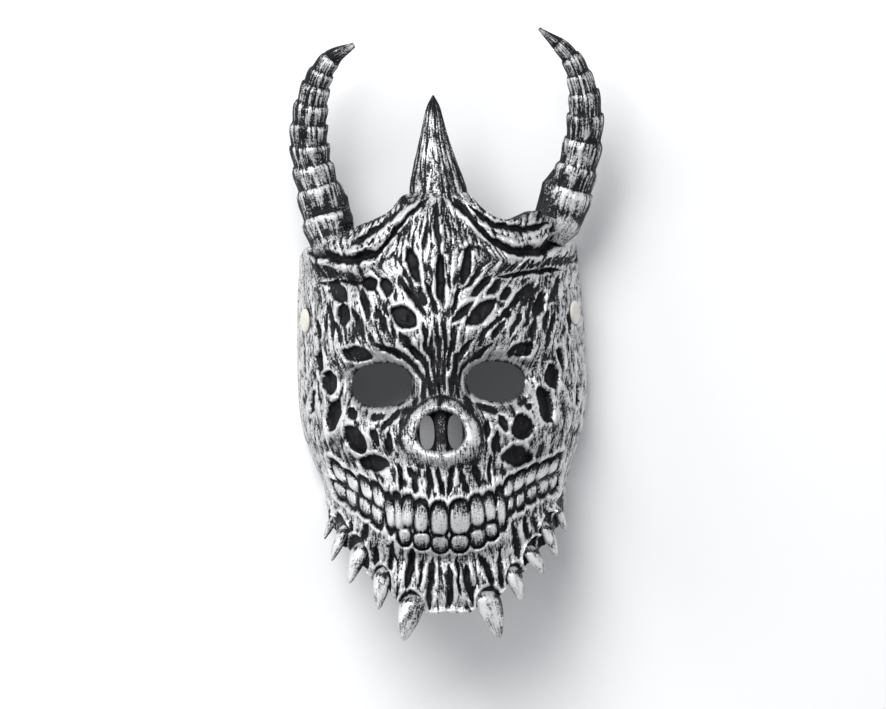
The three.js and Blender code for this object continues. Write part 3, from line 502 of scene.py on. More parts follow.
# The round rim of the nose with its notch, the dark recess and the bar between the nostrils
def carveNose(skin):
    x, y = skin.x - nose["x"], skin.y - nose["y"]
    lean = 1 - nose["narrowing"] * y / nose["up"]
    out = np.hypot(x / (nose["across"] * lean), y / nose["up"])
    worn = skin.noise(3.4, 67, 0.6) + skin.noise(1.5, 71, 0.4)
    calm = 1 - smooth((out - 1.56) / 0.26)
    skin.rise = skin.rise * (1 - calm) + 0.35 * worn * calm
    rim = np.exp(-(np.abs(out - nose["rimPlace"]) / nose["rimWidth"]) ** 2.6)
    notch = bell(x, 0, 1.2) * (y > 0)
    skin.rise += nose["rimHeight"] * rim * (1 - 0.4 * notch)
    crease = bell(out - 0.05 * worn, 1.6, 0.07) * smooth((y + 14) / 10)
    worked = nosePaint["base"] + nosePaint["rim"] * rim + nosePaint["worn"] * worn
    worked = worked - nosePaint["notch"] * notch * rim - nosePaint["crease"] * crease
    skin.paint = skin.paint * (1 - calm) + calm * worked
    skin.even = np.maximum(skin.even, 0.85 * calm)
    inside = 1 - smooth((out - 0.88) / 0.12)
    bar = 1 - smooth((np.abs(x) - nose["septum"] / 2 + 1.6) / 1.8)
    skin.rise = skin.rise * (1 - inside) + (nose["barHeight"] * bar - nose["recess"]) * inside
    # The bar's lower end is painted brighter as a painted highlight, and the noise on it is wear
    barPaint = nosePaint["bar"] + 0.5 * smooth((-6 - y) / 4) + 0.3 * worn
    skin.paint = skin.paint * (1 - inside) + inside * bar * barPaint


# Teeth, the front rows as (x, y, width, height, lean) and the side rows along the bite without
# the lean, which is the same for a whole row
upperFront = [(-30.4, -71.8, 5.4, 18, 0.1), (-25.9, -72.6, 5.2, 19, 0.04), (-20.6, -71.6, 6.8, 16, -0.1),
              (-13.3, -74.6, 7.7, 17, -0.04), (-3.2, -76, 9.4, 17.2, 0), (8.4, -75.4, 11.4, 18.2, 0.02),
              (18, -72.4, 7.8, 16, 0.1), (25.2, -70.8, 6.2, 15, 0.16), (31.1, -71.2, 5.2, 19.5, 0.12)]
lowerFront = [(-23, -85.3, 6.8, 9.2, -0.1), (-13.2, -87.9, 8.8, 9.2, 0), (-3.1, -90.3, 8.7, 8.8, 0),
              (7.7, -90, 9.4, 9.4, 0), (18, -87.4, 8, 9.8, 0.1), (25.9, -83.7, 6.4, 9, 0.2)]
sideTeeth = {
    "upperLeft": [(-59.4, -48.9, 6.8, 11.6), (-51.7, -54.5, 7, 10.8), (-43.9, -58.3, 7.2, 11.6),
                  (-36.9, -62.4, 7.4, 12.8)],
    "lowerLeft": [(-59.3, -59.6, 7.4, 9), (-52.5, -64, 7, 10), (-45.2, -68.5, 7.2, 9.8),
                  (-38.2, -73.6, 7.2, 10.8)],
    "upperRight": [(36.1, -59.8, 6.4, 10.6), (42, -56.7, 7.4, 10.4), (49, -53.8, 7.2, 10.4),
                   (56.2, -51.2, 7.6, 9.8), (62.6, -48.7, 6.2, 10.2)],
    "lowerRight": [(37, -69.6, 4.4, 8.2), (42.6, -67.6, 6, 9), (49.4, -64.2, 6.8, 8.8),
                   (56.4, -61.5, 6.4, 8.2), (62.3, -58.9, 5, 8.8)],
}
toothShape = {
    "upperRise": 4.6, "lowerRise": 3.6, "sideRise": 2.8, "sideStep": 0.3,
    "frontWider": 0.1, "sideNarrower": 0.45,
    "bitePower": 3.6, "gumRounding": 1.2,         # how square the outline is
    "channel": 2.2, "gumLine": 1.4, "gumPaint": 0.5,
    # the shade at the gum, how much brighter it is at the bite, and where that begins
    "upperShade": (0.4, 1.2, 0.9), "lowerShade": (0.45, 0.95, 0.8),
}


# Rounded at the gum, nearly square at the bite, and set in a dark channel with a bright gum line
def carveTeeth(skin):
    shape = toothShape
    teeth = [(*tooth, 0, shape["upperRise"], 1) for tooth in upperFront]
    teeth += [(*tooth, 0, shape["lowerRise"], -1) for tooth in lowerFront]
    for name, row in sideTeeth.items():
        lean, slope = (0.04, 0.42) if "Right" in name else (-0.06, -0.54)
        up = 1 if "upper" in name else -1
        teeth += [(*tooth, lean, slope, shape["sideRise"] + shape["sideStep"] * up, up) for tooth in row]
    nearest = np.full(skin.q.shape, 1e9)
    crown = np.zeros(skin.q.shape)
    enamel = np.zeros(skin.q.shape)
    worn = skinNoise(skin.q / 1.4, skin.y / 3.4, 73)
    for x, y, width, height, lean, slope, rise, gumSide in teeth:
        wide = float(spread(x, y))
        half = (width / 2 + (shape["frontWider"] if slope == 0 else -shape["sideNarrower"])) * wide
        dq, dy = skin.q - float(unrolled(x, y)), skin.y - y
        across = dq * math.cos(lean) + dy * math.sin(lean)
        up = (dy * math.cos(lean) - dq * (math.sin(lean) + slope / wide)) * gumSide / (height / 2)
        power = shape["bitePower"] - shape["gumRounding"] * smooth((up + 0.2) / 0.6)
        out = (np.abs(across / half) ** power + np.abs(up) ** power) ** (1 / power)
        edge = (out - 1) * min(half / wide, height / 2)
        inside = smooth((0.5 - edge) / 1.5)
        dome = 1 - 0.3 * (across / half) ** 2 - 0.25 * np.maximum(up, 0) ** 2
        crown = np.maximum(crown, inside * rise * dome)
        gumShade, more, fade = shape["upperShade" if gumSide > 0 else "lowerShade"]
        shade = gumShade + more * smooth((fade - up) / 1.2)
        enamel = np.maximum(enamel, smooth((0.5 - edge + 0.5 * worn) / 1.3) * shade)
        nearest = np.minimum(nearest, edge)
    channel = 1 - smooth((nearest - 0.4) / 0.8)
    lip = bell(nearest, 1.8, 0.8)
    skin.rise = skin.rise * (1 - channel) + channel * (crown - shape["channel"]) + shape["gumLine"] * lip
    skin.paint = skin.paint * (1 - channel) + channel * enamel + shape["gumPaint"] * lip
    skin.even = np.maximum(skin.even, 0.6 * channel)


# Grooves between the roots above the front teeth, as (path, width)
gumGrooves = [
    ([(-19.5, -47), (-15.5, -52), (-16.6, -61)], 3.8), ([(-8.6, -47), (-8, -55), (-8.4, -64)], 2.8),
    ([(-3.6, -47.5), (-2.2, -55), (0.2, -63.4)], 2.6), ([(6.2, -46), (4, -54), (2.4, -63.4)], 3),
    ([(9.6, -50), (10.8, -56), (12.2, -63)], 2.8), ([(16.6, -47), (18.8, -52), (20.4, -59)], 3.8),
    ([(-24.6, -44), (-23.4, -52), (-24.2, -60)], 2), ([(25.4, -42), (25, -50), (26.4, -58)], 2),
]

# Folds of the chin and jaw, as grooves from under the teeth to the edge, as (path, width)
chinGrooves = [
    ([(-18.4, -91), (-19.8, -103), (-23.3, -115)], 3.9), ([(-7.2, -98), (-9, -110), (-10.2, -126)], 3.8),
    ([(1.4, -103), (1.8, -112), (1.4, -124.5)], 4.1), ([(10.2, -103), (11.6, -112), (14.6, -123)], 4.1),
    ([(18, -97.5), (23.5, -106), (26.4, -117)], 4.1),
    ([(30.2, -96.5), (30.4, -106), (31.5, -115.5)], 3.3),
    ([(-29.4, -88), (-30.2, -96), (-32.2, -104.5)], 3.3),
    ([(-39.4, -91), (-39.6, -96), (-40.8, -101.5)], 3.8),
    ([(-43.6, -78), (-44.6, -83), (-46.8, -88.8)], 3.6), ([(38, -82), (39, -90), (40.8, -99)], 3.6),
    ([(44.6, -77.5), (45.6, -83), (46.8, -89.4)], 2.8), ([(50, -76), (51, -81), (52.1, -86.4)], 2.3),
    ([(56, -73), (57, -76), (57.6, -80)], 2.1), ([(-52.5, -77), (-53, -80), (-54.4, -84)], 2.3),
    ([(-12.5, -95), (-13.8, -104), (-15.6, -114)], 1.6), ([(6, -98), (6.4, -108), (7.6, -120)], 1.5),
]


collar = {"from": 0.35, "unit": 1.2, "lipPlace": 1.2, "lipWidth": 0.7, "lipHeight": 1.7, "lipPaint": 0.55,
          "creaseDepth": 1.4}
jawLip = {"place": 1, "width": 1.3, "height": 1.2, "paint": 0.4,
          "hollowPlace": 4.2, "hollowWidth": 1.5, "hollowDepth": 0.8,
          "chinPaint": 0.16, "chinTop": -93}


# The skin folds up in an arched lip around the root of a fang, with a dark crease inside it
def carveCollar(skin, rootX, rootY, tipX, tipY, width):
    rootQ, tipQ = float(unrolled(rootX, rootY)), float(unrolled(tipX, rootY))
    length = math.hypot(tipQ - rootQ, tipY - rootY)
    stepQ, stepY = (tipQ - rootQ) / length, (tipY - rootY) / length
    start = collar["from"] * width
    reach = np.maximum((skin.q - rootQ) * stepQ + (skin.y - rootY) * stepY, start)
    wide = width / 2 * float(spread(rootX, rootY))
    out = np.hypot(skin.q - rootQ - reach * stepQ, skin.y - rootY - reach * stepY) - wide
    away = out / collar["unit"]
    lip = bell(away, collar["lipPlace"], collar["lipWidth"])
    crease = 1 - smooth((away + 0.1) / 0.6)
    skin.rise = skin.rise * (1 - crease) - collar["creaseDepth"] * crease + collar["lipHeight"] * lip
    skin.paint = (skin.paint + collar["lipPaint"] * lip) * (1 - crease)


def carveJaw(skin):
    for path, width in gumGrooves:
        skin.groove(path, width, 2.2)
    for path, width in chinGrooves:
        cutGroove(skin, path, width, chinCut)
    above = skin.y - bottomEdge(skin.turn)
    lip = bell(above, jawLip["place"], jawLip["width"])
    hollow = bell(above, jawLip["hollowPlace"], jawLip["hollowWidth"])
    skin.rise += jawLip["height"] * lip - jawLip["hollowDepth"] * hollow
    skin.paint = skin.paint + jawLip["paint"] * lip
    skin.paint += jawLip["chinPaint"] * smooth((jawLip["chinTop"] - skin.y) / 6)
    for rootX, rootY, tipX, tipY, width in fangs:
        carveCollar(skin, rootX, rootY, tipX, tipY, width)


def carvedStrokes():
    strokes = [((row[0], row[1]), (row[2], row[3])) for row in browPits + cheekPits + browGrooves]
    for path, width in noseFan + gumGrooves + chinGrooves:
        strokes += list(zip(path, path[1:]))
    for path, width, depth in archGrooves:
        strokes += list(zip(path, path[1:]))
    return strokes


# Two smooth measures over the unrolled skin, one across the carving's strokes and one along
# them. Each is the field whose slopes come nearest to the strokes' directions everywhere.
class Flow:
    def __init__(self):
        self.step = 2.0
        self.lowQ, self.lowY = -130.0, -138.0
        acrossSheet = np.arange(self.lowQ, 131, self.step)
        q, y = np.meshgrid(acrossSheet, np.arange(self.lowY, 115, self.step), indexing="ij")
        acrossQ, acrossY = np.full(q.shape, 0.05), np.zeros(q.shape)
        for (x1, y1), (x2, y2) in carvedStrokes():
            q1, q2, length, stepQ, stepY = strokeOf(x1, y1, x2, y2)
            if abs(stepY) < 0.12:
                continue                  # a level stroke doesn't say which way is across
            turned = 1 if stepY > 0 else -1
            reach = np.clip((q - q1) * stepQ + (y - y1) * stepY, 0, length)
            away = np.hypot(q - q1 - reach * stepQ, y - y1 - reach * stepY)
            weight = bell(away, 0, 7) * min(length, 16)
            acrossQ += turned * stepY * weight
            acrossY -= turned * stepQ * weight
        size = np.hypot(acrossQ, acrossY)
        acrossQ, acrossY = acrossQ / size, acrossY / size
        self.across = self.fitted(acrossQ, acrossY)
        self.along = self.fitted(-acrossY, acrossQ)

    # Least squares over the whole sheet, solved with cosine waves
    def fitted(self, slopeQ, slopeY):
        total = np.zeros(slopeQ.shape)
        climb = (slopeQ[1:] + slopeQ[:-1]) / 2 * self.step
        total[:-1] -= climb
        total[1:] += climb
        climb = (slopeY[:, 1:] + slopeY[:, :-1]) / 2 * self.step
        total[:, :-1] -= climb
        total[:, 1:] += climb
        wavesQ, powerQ = self.waves(total.shape[0])
        wavesY, powerY = self.waves(total.shape[1])
        power = powerQ[:, None] + powerY[None, :]
        power[0, 0] = 1
        return wavesQ.T @ ((wavesQ @ total @ wavesY.T) / power) @ wavesY

    def waves(self, count):
        order, place = np.meshgrid(np.arange(count), np.arange(count) + 0.5, indexing="ij")
        waves = np.cos(math.pi * order * place / count) * math.sqrt(2 / count)
        waves[0] /= math.sqrt(2)
        return waves, 2 - 2 * np.cos(math.pi * np.arange(count) / count)

    def at(self, field, q, y):
        i = (q - self.lowQ) / self.step
        j = (y - self.lowY) / self.step
        low, left = np.floor(i).astype(int), np.floor(j).astype(int)
        a, b = i - low, j - left
        return ((field[low, left] * (1 - a) + field[low + 1, left] * a) * (1 - b)
                + (field[low, left + 1] * (1 - a) + field[low + 1, left + 1] * a) * b)


# Noise over the skin, as (millimetres across, millimetres along) where it follows the carving
castWear = {
    "cuts": (2.1, 13), "cutWidth": 0.17, "cutDepth": 0.9, "cutPaint": 0.65,
    "fine": (1.5, 8), "fineHeight": 0.4, "finePaint": 0.3,
    "finest": (0.9, 5), "finestHeight": 0.2,
    "lumpHeight": 0.45, "lumpPaint": 0.15, "lift": 0.25,
}


# Fine cuts that follow the carving, bigger lumps, and the worn unevenness of the cast
def weather(skin, flow):
    wear = castWear
    across = flow.at(flow.across, skin.q, skin.y)
    along = flow.at(flow.along, skin.q, skin.y)
    calm = 1 - 0.8 * hill(skin.x, skin.y, nose["x"], nose["y"], 20, 18)
    cuts, fine, finest = [skinNoise(across / wear[name][0], along / wear[name][1], seed)
                          for name, seed in (("cuts", 3), ("fine", 5), ("finest", 13))]
    cuts = bell(cuts, 0, wear["cutWidth"])
    lumps = skin.noise(7, 17, 0.6) + skin.noise(3, 19, 0.4)
    height = wear["fineHeight"] * fine + wear["finestHeight"] * finest + wear["lift"]
    skin.rise += calm * (height + wear["lumpHeight"] * lumps - wear["cutDepth"] * cuts)
    shade = wear["finePaint"] * fine + wear["lumpPaint"] * lumps - wear["cutPaint"] * cuts
    skin.paint = skin.paint + calm * shade
    return np.stack([across, along, 0 * along], -1)


# A blur over the unrolled skin, by repeated averaging of neighbours
def blurred(field, times):
    soft = field.copy()
    for _ in range(times):
        padded = np.pad(soft, 1, mode="edge")
        soft = (padded[:-2, 1:-1] + padded[2:, 1:-1] + padded[1:-1, :-2] + padded[1:-1, 2:] + 2 * soft) / 6
    return soft


# Turns from one side to the other, finer in front than at the sides
def turnsAcross(steps):
    even = np.linspace(-1, 1, steps + 1)
    return 90 * (0.76 * even + 0.24 * even ** 3)


def gridFaces(sheet, flip):
    a, b = sheet[:-1, :-1].ravel(), sheet[1:, :-1].ravel()
    c, d = sheet[1:, 1:].ravel(), sheet[:-1, 1:].ravel()
    return np.stack([a, d, c, b] if flip else [a, b, c, d], axis=1).tolist()


def ringOf(sheet):
    return np.concatenate([sheet[:-1, 0], sheet[-1, :-1], sheet[:0:-1, -1], sheet[0, :0:-1]])


# How the silver takes on the shell: more on what stands over the skin around it, and more toward the sides as
# painted light on the flanks that turn away
brushing = {"blur": 26, "lowest": -2.5, "highest": 1.5, "highGain": 0.28, "lowGain": 0.2,
            "carvingShare": 0.52, "flankLight": 0.2, "flankFrom": 52, "flankOver": 26, "black": -0.4, "most": 1.1}


def carvedSkin():
    turns = turnsAcross(shell["columns"])
    turn, up = np.meshgrid(turns, np.linspace(0, 1, shell["rows"] + 1), indexing="ij")
    skin = Skin(turn, bottomEdge(turn) * (1 - up) + topEdge(turn) * up)
    carveBrow(skin)
    carveNoseFan(skin)
    for pit in cheekPits:
        skin.pit(*pit)
    carveFolds(skin)
    carveJaw(skin)
    streaks = weather(skin, Flow())
    carveTeeth(skin)
    carveEyes(skin)
    carveNose(skin)
    print("face carved")
    return skin, streaks


def silverOn(skin):
    brush = brushing
    high = np.clip(skin.rise - blurred(skin.rise, brush["blur"]), brush["lowest"], brush["highest"])
    high = np.where(high > 0, brush["highGain"], brush["lowGain"]) * high * (1 - skin.even)
    # Painted light: more silver toward the sides, where the skin turns away
    flankLight = brush["flankLight"] * smooth((np.abs(skin.turn) - brush["flankFrom"]) / brush["flankOver"])
    return np.clip(brush["carvingShare"] * skin.paint + high + flankLight, brush["black"], brush["most"])


# The whole shell as points, faces, and the paint and the streaks of each point
def makeShell():
    skin, streaks = carvedSkin()
    turn, y = skin.turn, skin.y
    level = smooth((90 - np.abs(turn)) / shell["plainDegrees"]) * (1 - rivetCalm(turn, y))
    front = facePoint(turn, y) + outward(turn) * (skin.rise * level)[..., None]
    step = shell["backStep"]
    backTurn, backY = turn[::step, ::step], y[::step, ::step]
    back = facePoint(backTurn, backY, shell["wall"], shell["noseInside"])
    points = np.concatenate([front.reshape(-1, 3), back.reshape(-1, 3)])
    frontSheet = np.arange(turn.size).reshape(turn.shape)
    backSheet = turn.size + np.arange(backTurn.size).reshape(backTurn.shape)
    faces = gridFaces(frontSheet, False) + gridFaces(backSheet, True)
    outer, inner = ringOf(frontSheet), ringOf(backSheet)
    for i, point in enumerate(inner):
        run = [int(outer[(i * step + k) % len(outer)]) for k in range(step + 1)]
        faces.append(run[::-1] + [int(point), int(inner[(i + 1) % len(inner)])])
    paints = np.concatenate([silverOn(skin).ravel(), np.full(backTurn.size, brushing["black"])])
    streaks = np.concatenate([streaks.reshape(-1, 3), back.reshape(-1, 3)])
    return points, faces, paints, streaks


rivet = {"turn": 68, "height": 37, "headRadius": 6.8, "headHeight": 2.4, "shankRadius": 2.5,
         "plateRadius": 6, "plateHeight": 1.6, "gap": 0.3, "sides": 48,
         "plateRound": 0.3, "headRound": 0.25, "rim": 0.7,
         "headRoom": 0.8, "plateRoom": 1, "holeReach": 6,      # the hole around it
         "skinRadius": 84}                                     # of the curve of the skin there


# The skin is calm where a rivet's head lies on it
def rivetCalm(turn, y):
    across = np.radians(np.abs(turn) - rivet["turn"]) * rivet["skinRadius"]
    away = np.hypot(across, y - rivet["height"])
    return 1 - smooth((away - rivet["headRadius"] - 0.6) / 3)


def rivetSeat(side):
    turn = side * rivet["turn"]
    height = rivet["height"]
    behind, ahead = facePoint(np.array([turn - 2, turn + 2]), np.array([height, height]))
    along = (ahead - behind) / np.linalg.norm(ahead - behind)
    point = facePoint(np.array(turn), np.array(height))
    return Vector(point), Vector((-along[2], 0, along[0]))


def toFrame(points):
    moved = np.array(points, float)
    moved[:, 0] -= faceMiddle[0]
    moved[:, 1] -= faceMiddle[1]
    return moved * millimetre


def meshFrom(name, points, faces):
    mesh = bpy.data.meshes.new(name)
    mesh.from_pydata(toFrame(points).tolist(), [], faces)
    mesh.update()
    made = bpy.data.objects.new(name, mesh)
    bpy.context.scene.collection.objects.link(made)
    return made


# A skin over a row of equal loops, with both ends closed by a fan
def loftFaces(rows, count):
    sheet = np.arange(rows * count).reshape(rows, count)
    wrapped = np.concatenate([sheet, sheet[:, :1]], axis=1)
    faces = gridFaces(wrapped, False)
    low, high = rows * count, rows * count + 1
    for i in range(count):
        after = (i + 1) % count
        faces.append([low, int(sheet[0, after]), int(sheet[0, i])])
        faces.append([high, int(sheet[-1, i]), int(sheet[-1, after])])
    return faces


def loftPoints(loops):
    stacked = np.concatenate(loops)
    return np.concatenate([stacked, [loops[0].mean(axis=0)], [loops[-1].mean(axis=0)]])


horns = {
    "left": {
        "path": [(-56, 70, 47), (-59.5, 84, 41), (-64.2, 104, 39), (-69.4, 126, 41), (-70.2, 147, 46),
                 (-65.6, 168.4, 52), (-56.6, 183.4, 56), (-43.2, 191, 59)],
        "start": 0.1,
        "lengths": [13.7, 17.6, 13, 11.6, 12.3, 11.7, 11, 8.5, 9.1, 15.2],
        "radii": [(0, 14), (0.2, 13.8), (0.38, 11.6), (0.6, 10.2), (0.76, 7.9), (0.9, 5.1), (1, 1.5)],
        "web": [(-65, 119, 40), (-60.5, 103, 41), (-54, 88, 49)],
    },
    "right": {
        "path": [(66, 76, 42), (70.6, 91, 37), (76.2, 106, 38), (82.9, 127, 41), (85.88, 146, 46),
                 (84.6, 164, 52), (77.2, 182, 57), (61, 197.2, 61)],
        "start": 0.13,
        "lengths": [16.1, 13.1, 15.7, 15.3, 13, 10.8, 10.9, 10.1, 13.9],
        "radii": [(0, 14), (0.13, 13.9), (0.35, 11.3), (0.57, 9.8), (0.745, 6.8), (0.9, 3.8), (1, 0.8)],
        "web": [(78, 123, 40), (71, 106, 40), (63, 91, 46)],
    },
    "deep": 0.95, "sides": 100, "rowsPerRing": 7,
}

# Each ring of a horn, in shares of the horn's radius, and how it is painted
ringShape = {"foot": 0.92, "widening": 0.14, "rounding": 0.1, "tip": 0.95, "tipFoot": 0.08,
             "worn": 0.1, "coarseFibres": 0.3, "fineFibres": 0.7, "fibreHeight": 0.35}
# In ringPaint, ahead is painted light on the side that faces out, and inner and outer are painted shade
ringPaint = {"base": 0.3, "ahead": 0.34, "inner": 0.2, "outer": 0.4, "towardTip": 0.1, "root": 0.2,
             "ring": 0.06, "lip": 0.3, "foot": 0.35, "fibres": 0.6, "tip": 0.12}


# Points at even steps along a smooth path, with the path's direction there
def alongCurve(path, shares):
    given = np.array(path, float)
    padded = np.concatenate([[2 * given[0] - given[1]], given, [2 * given[-1] - given[-2]]])
    dense = []
    for i in range(1, len(padded) - 2):
        p0, p1, p2, p3 = padded[i - 1:i + 3]
        for t in np.linspace(0, 1, 24, endpoint=False):
            dense.append(0.5 * (2 * p1 + (p2 - p0) * t + (2 * p0 - 5 * p1 + 4 * p2 - p3) * t * t
                                + (3 * p1 - p0 - 3 * p2 + p3) * t ** 3))
    dense = np.array(dense + [given[-1]])
    lengths = np.concatenate([[0], np.cumsum(np.linalg.norm(np.diff(dense, axis=0), axis=1))])
    at = np.array(shares) * lengths[-1]
    points = np.stack([np.interp(at, lengths, dense[:, k]) for k in range(3)], axis=1)
    ahead = np.stack([np.interp(at + 1.5, lengths, dense[:, k]) for k in range(3)], axis=1)
    behind = np.stack([np.interp(at - 1.5, lengths, dense[:, k]) for k in range(3)], axis=1)
    along = ahead - behind
    return points, along / np.linalg.norm(along, axis=1, keepdims=True)


# A loop around an axis, with a radius for each of its points
def loopAround(point, along, radii, deep, angle):
    across = np.cross(along, (0, 0, 1))
    across /= np.linalg.norm(across)
    out = np.cross(across, along)
    loop = point + np.cos(angle)[:, None] * across * radii[:, None]
    return loop + np.sin(angle)[:, None] * out * radii[:, None] * deep


def streaksAt(across, along):
    return np.stack([across, np.full(across.shape, along), 0 * across], -1)


# A closed body from its loops, with a paint for each point and for the middle of both ends
def bodyOf(loops, paints, streaks, ends):
    paint = np.concatenate(paints + [np.array(ends)])
    streak = np.concatenate(streaks + [np.zeros((2, 3))])
    return loftPoints(loops), loftFaces(len(loops), len(loops[0])), paint, streak


# A horn as a stack of cups that widen to a worn lip, with fine fibres along it
def makeHorn(side):
    horn, shape, brush = horns[side], ringShape, ringPaint
    lengths, start = horn["lengths"], horn["start"]
    starts = start + (1 - start) * np.concatenate([[0], np.cumsum(lengths)]) / sum(lengths)
    shares, inRing, ringNumber = [0.0, start * 0.6], [0.5, 0.5], [-1, -1]
    for number, (low, high) in enumerate(zip(starts, starts[1:])):
        for u in np.linspace(0.03, 0.985, horns["rowsPerRing"]) ** 0.85:
            shares.append(float(low + (high - low) * u))
            inRing.append(float(u))
            ringNumber.append(number)
    shares[-1] = 0.999
    points, along = alongCurve(horn["path"], shares)
    angle = np.linspace(0, 2 * math.pi, horns["sides"], endpoint=False)
    inward = np.cos(angle) * (1 if side == "left" else -1)
    # Painted light: the side of the horn that faces out toward the lamps is painted brighter
    litFacing = np.clip(np.sin(angle) * 1.1 - 0.25, -0.7, 0.6)
    loops, paints, streaks = [], [], []
    for row, (share, u, number) in enumerate(zip(shares, inRing, ringNumber)):
        radius = float(curveAt(horn["radii"], np.array(share)))
        last = number == len(lengths) - 1
        worn = shape["worn"] * skinNoise(angle * 1.6 + number * 9, number, 23)
        if number < 0:
            swell = 0.35 + 0.5 * row + 0 * angle
        elif last:
            swell = shape["tip"] + shape["tipFoot"] * bell(u, 0.1, 0.1) + 0 * angle
        else:
            swell = shape["foot"] + shape["widening"] * smooth((u + worn) / 0.85)
            swell = swell - shape["rounding"] * smooth((u + worn - 0.93) / 0.08)
        fibres = shape["coarseFibres"] * skinNoise(angle * 5, share * 9, 29 + number)
        fibres = fibres + shape["fineFibres"] * skinNoise(angle * 13, share * 14, 31 + number)
        radii = radius * swell + shape["fibreHeight"] * fibres * min(1.0, radius / 7)
        loops.append(loopAround(points[row], along[row], radii, horns["deep"], angle))
        # Painted shade: darker on the inner side near the root and on the outer side toward the tip
        shaded = brush["inner"] * np.maximum(inward, 0) * (1 - share)
        shaded = shaded + brush["outer"] * np.maximum(-inward, 0) * share
        paint = brush["base"] + brush["ahead"] * litFacing - shaded - brush["towardTip"] * share
        if number < 0:
            paint = paint + brush["root"]
        else:
            lip, foot = bell(u + worn, 0.86, 0.09), bell(u + 0.5 * worn, 0, 0.2)
            paint = paint + brush["ring"] + brush["lip"] * lip - brush["foot"] * foot
            paint = paint + brush["fibres"] * fibres - brush["tip"] * last
        paints.append(paint)
        streaks.append(streaksAt(angle * 14, share * 130))
    return bodyOf(loops, paints, streaks, (0.0, 0.1))


# The web of plain black rubber that braces a horn's inner side against the brow,
# as (share of the way down, half width, flatness)
webSteps = [(0, 6, 0.7), (0.5, 11.5, 0.7), (1, 8, 0.5)]


def makeWeb(side):
    angle = np.linspace(0, 2 * math.pi, 32, endpoint=False)
    shares = np.linspace(0, 1, 9)
    points, along = alongCurve(horns[side]["web"], shares)
    steps = np.array(webSteps, float)
    loops = []
    for row, share in enumerate(shares):
        radius = float(np.interp(share, steps[:, 0], steps[:, 1]))
        deep = float(np.interp(share, steps[:, 0], steps[:, 2]))
        loops.append(loopAround(points[row], along[row], np.full(angle.shape, radius), deep, angle))
    stacked = loftPoints(loops)
    brushed = 0.12 + 0.3 * skinNoise(stacked[:, 0] / 3, stacked[:, 1] / 5, 83)
    return stacked, loftFaces(len(loops), len(angle)), brushed, stacked * 2


spike = {
    "root": (2.2, 101, 58), "tip": (0.4, 161.6, 56), "bend": 1, "halfWidth": 17, "halfDepth": 11.5,
    "sides": 144, "rows": 24,
    "outline": [(0, 0.97), (0.13, 0.95), (0.36, 0.73), (0.59, 0.49), (0.74, 0.36), (0.9, 0.21), (1, 0.02)],
    "flutes": [(164, 3), (149, 2.6), (119, 2.2), (79, 2.4), (68, 1.8), (52, 2.4), (30, 3)],   # degrees, width
    "fluteDepth": 0.06, "unevenness": 0.012,
}
# In spikePaint, front is a painted highlight on the front ridge and turnedAwayShade is painted shade on the
# sides
spikePaint = {"base": 0.44, "front": 0.04, "turnedAwayShade": 0.25, "flutes": 0.7, "worn": 0.3, "tip": 0.35}


# The spike on the forehead: a broad smooth ridge in front with thin flutes beside it
def makeSpike():
    brush = spikePaint
    angle = np.linspace(0, 2 * math.pi, spike["sides"], endpoint=False)
    degrees = np.degrees(angle)
    # Painted light on the front that faces the lamps, and painted shade on the sides that turn away
    front = bell(degrees, 97, 16)
    turnedAwayShade = smooth((45 - degrees) / 30) + smooth((degrees - 156) / 20)
    flutes = sum(bell(degrees, place, width) for place, width in spike["flutes"])
    loops, paints, streaks = [], [], []
    for share in np.linspace(0, 1, spike["rows"]):
        size = float(curveAt(spike["outline"], np.array(share)))
        x, y, z = np.array(spike["root"]) * (1 - share) + np.array(spike["tip"]) * share
        x -= spike["bend"] * math.sin(math.pi * share)
        cut = flutes * (1 - 0.5 * share)
        uneven = spike["unevenness"] * skinNoise(degrees / 14, share * 18, 37)
        reach = size * (1 - spike["fluteDepth"] * cut + uneven)
        loops.append(np.stack([x + np.cos(angle) * spike["halfWidth"] * reach, y + 0 * angle,
                               z + np.sin(angle) * spike["halfDepth"] * reach], -1))
        worn = skinNoise(degrees / 6, share * 9, 61)
        tipDark = brush["tip"] * float(smooth((share - 0.75) / 0.25))
        paint = brush["base"] + brush["front"] * front - brush["turnedAwayShade"] * turnedAwayShade
        paints.append(paint - brush["flutes"] * cut + brush["worn"] * worn - tipDark)
        streaks.append(streaksAt(degrees / 6, share * 60))
    return bodyOf(loops, paints, streaks, (0.0, 0.1))


fangShape = {
    "sides": 18, "rows": 18, "sunkHeight": 5, "sunkDepth": 0.4, "rootDepth": 0.04, "forward": 2,
    "sunkShare": 0.3,         # how much of its length is sunk in the wall
    "profile": [(0, 0.4), (0.3, 1), (0.5, 0.96), (0.7, 0.8), (0.86, 0.48), (0.95, 0.32), (1, 0.08)],
    "unevenness": 0.05,
}
# In fangPaint, ahead is painted light on the side that faces out and side is painted shade on one flank
fangPaint = {"base": 0.4, "ahead": 0.4, "side": 0.15, "specks": 0.35, "root": 0.6}


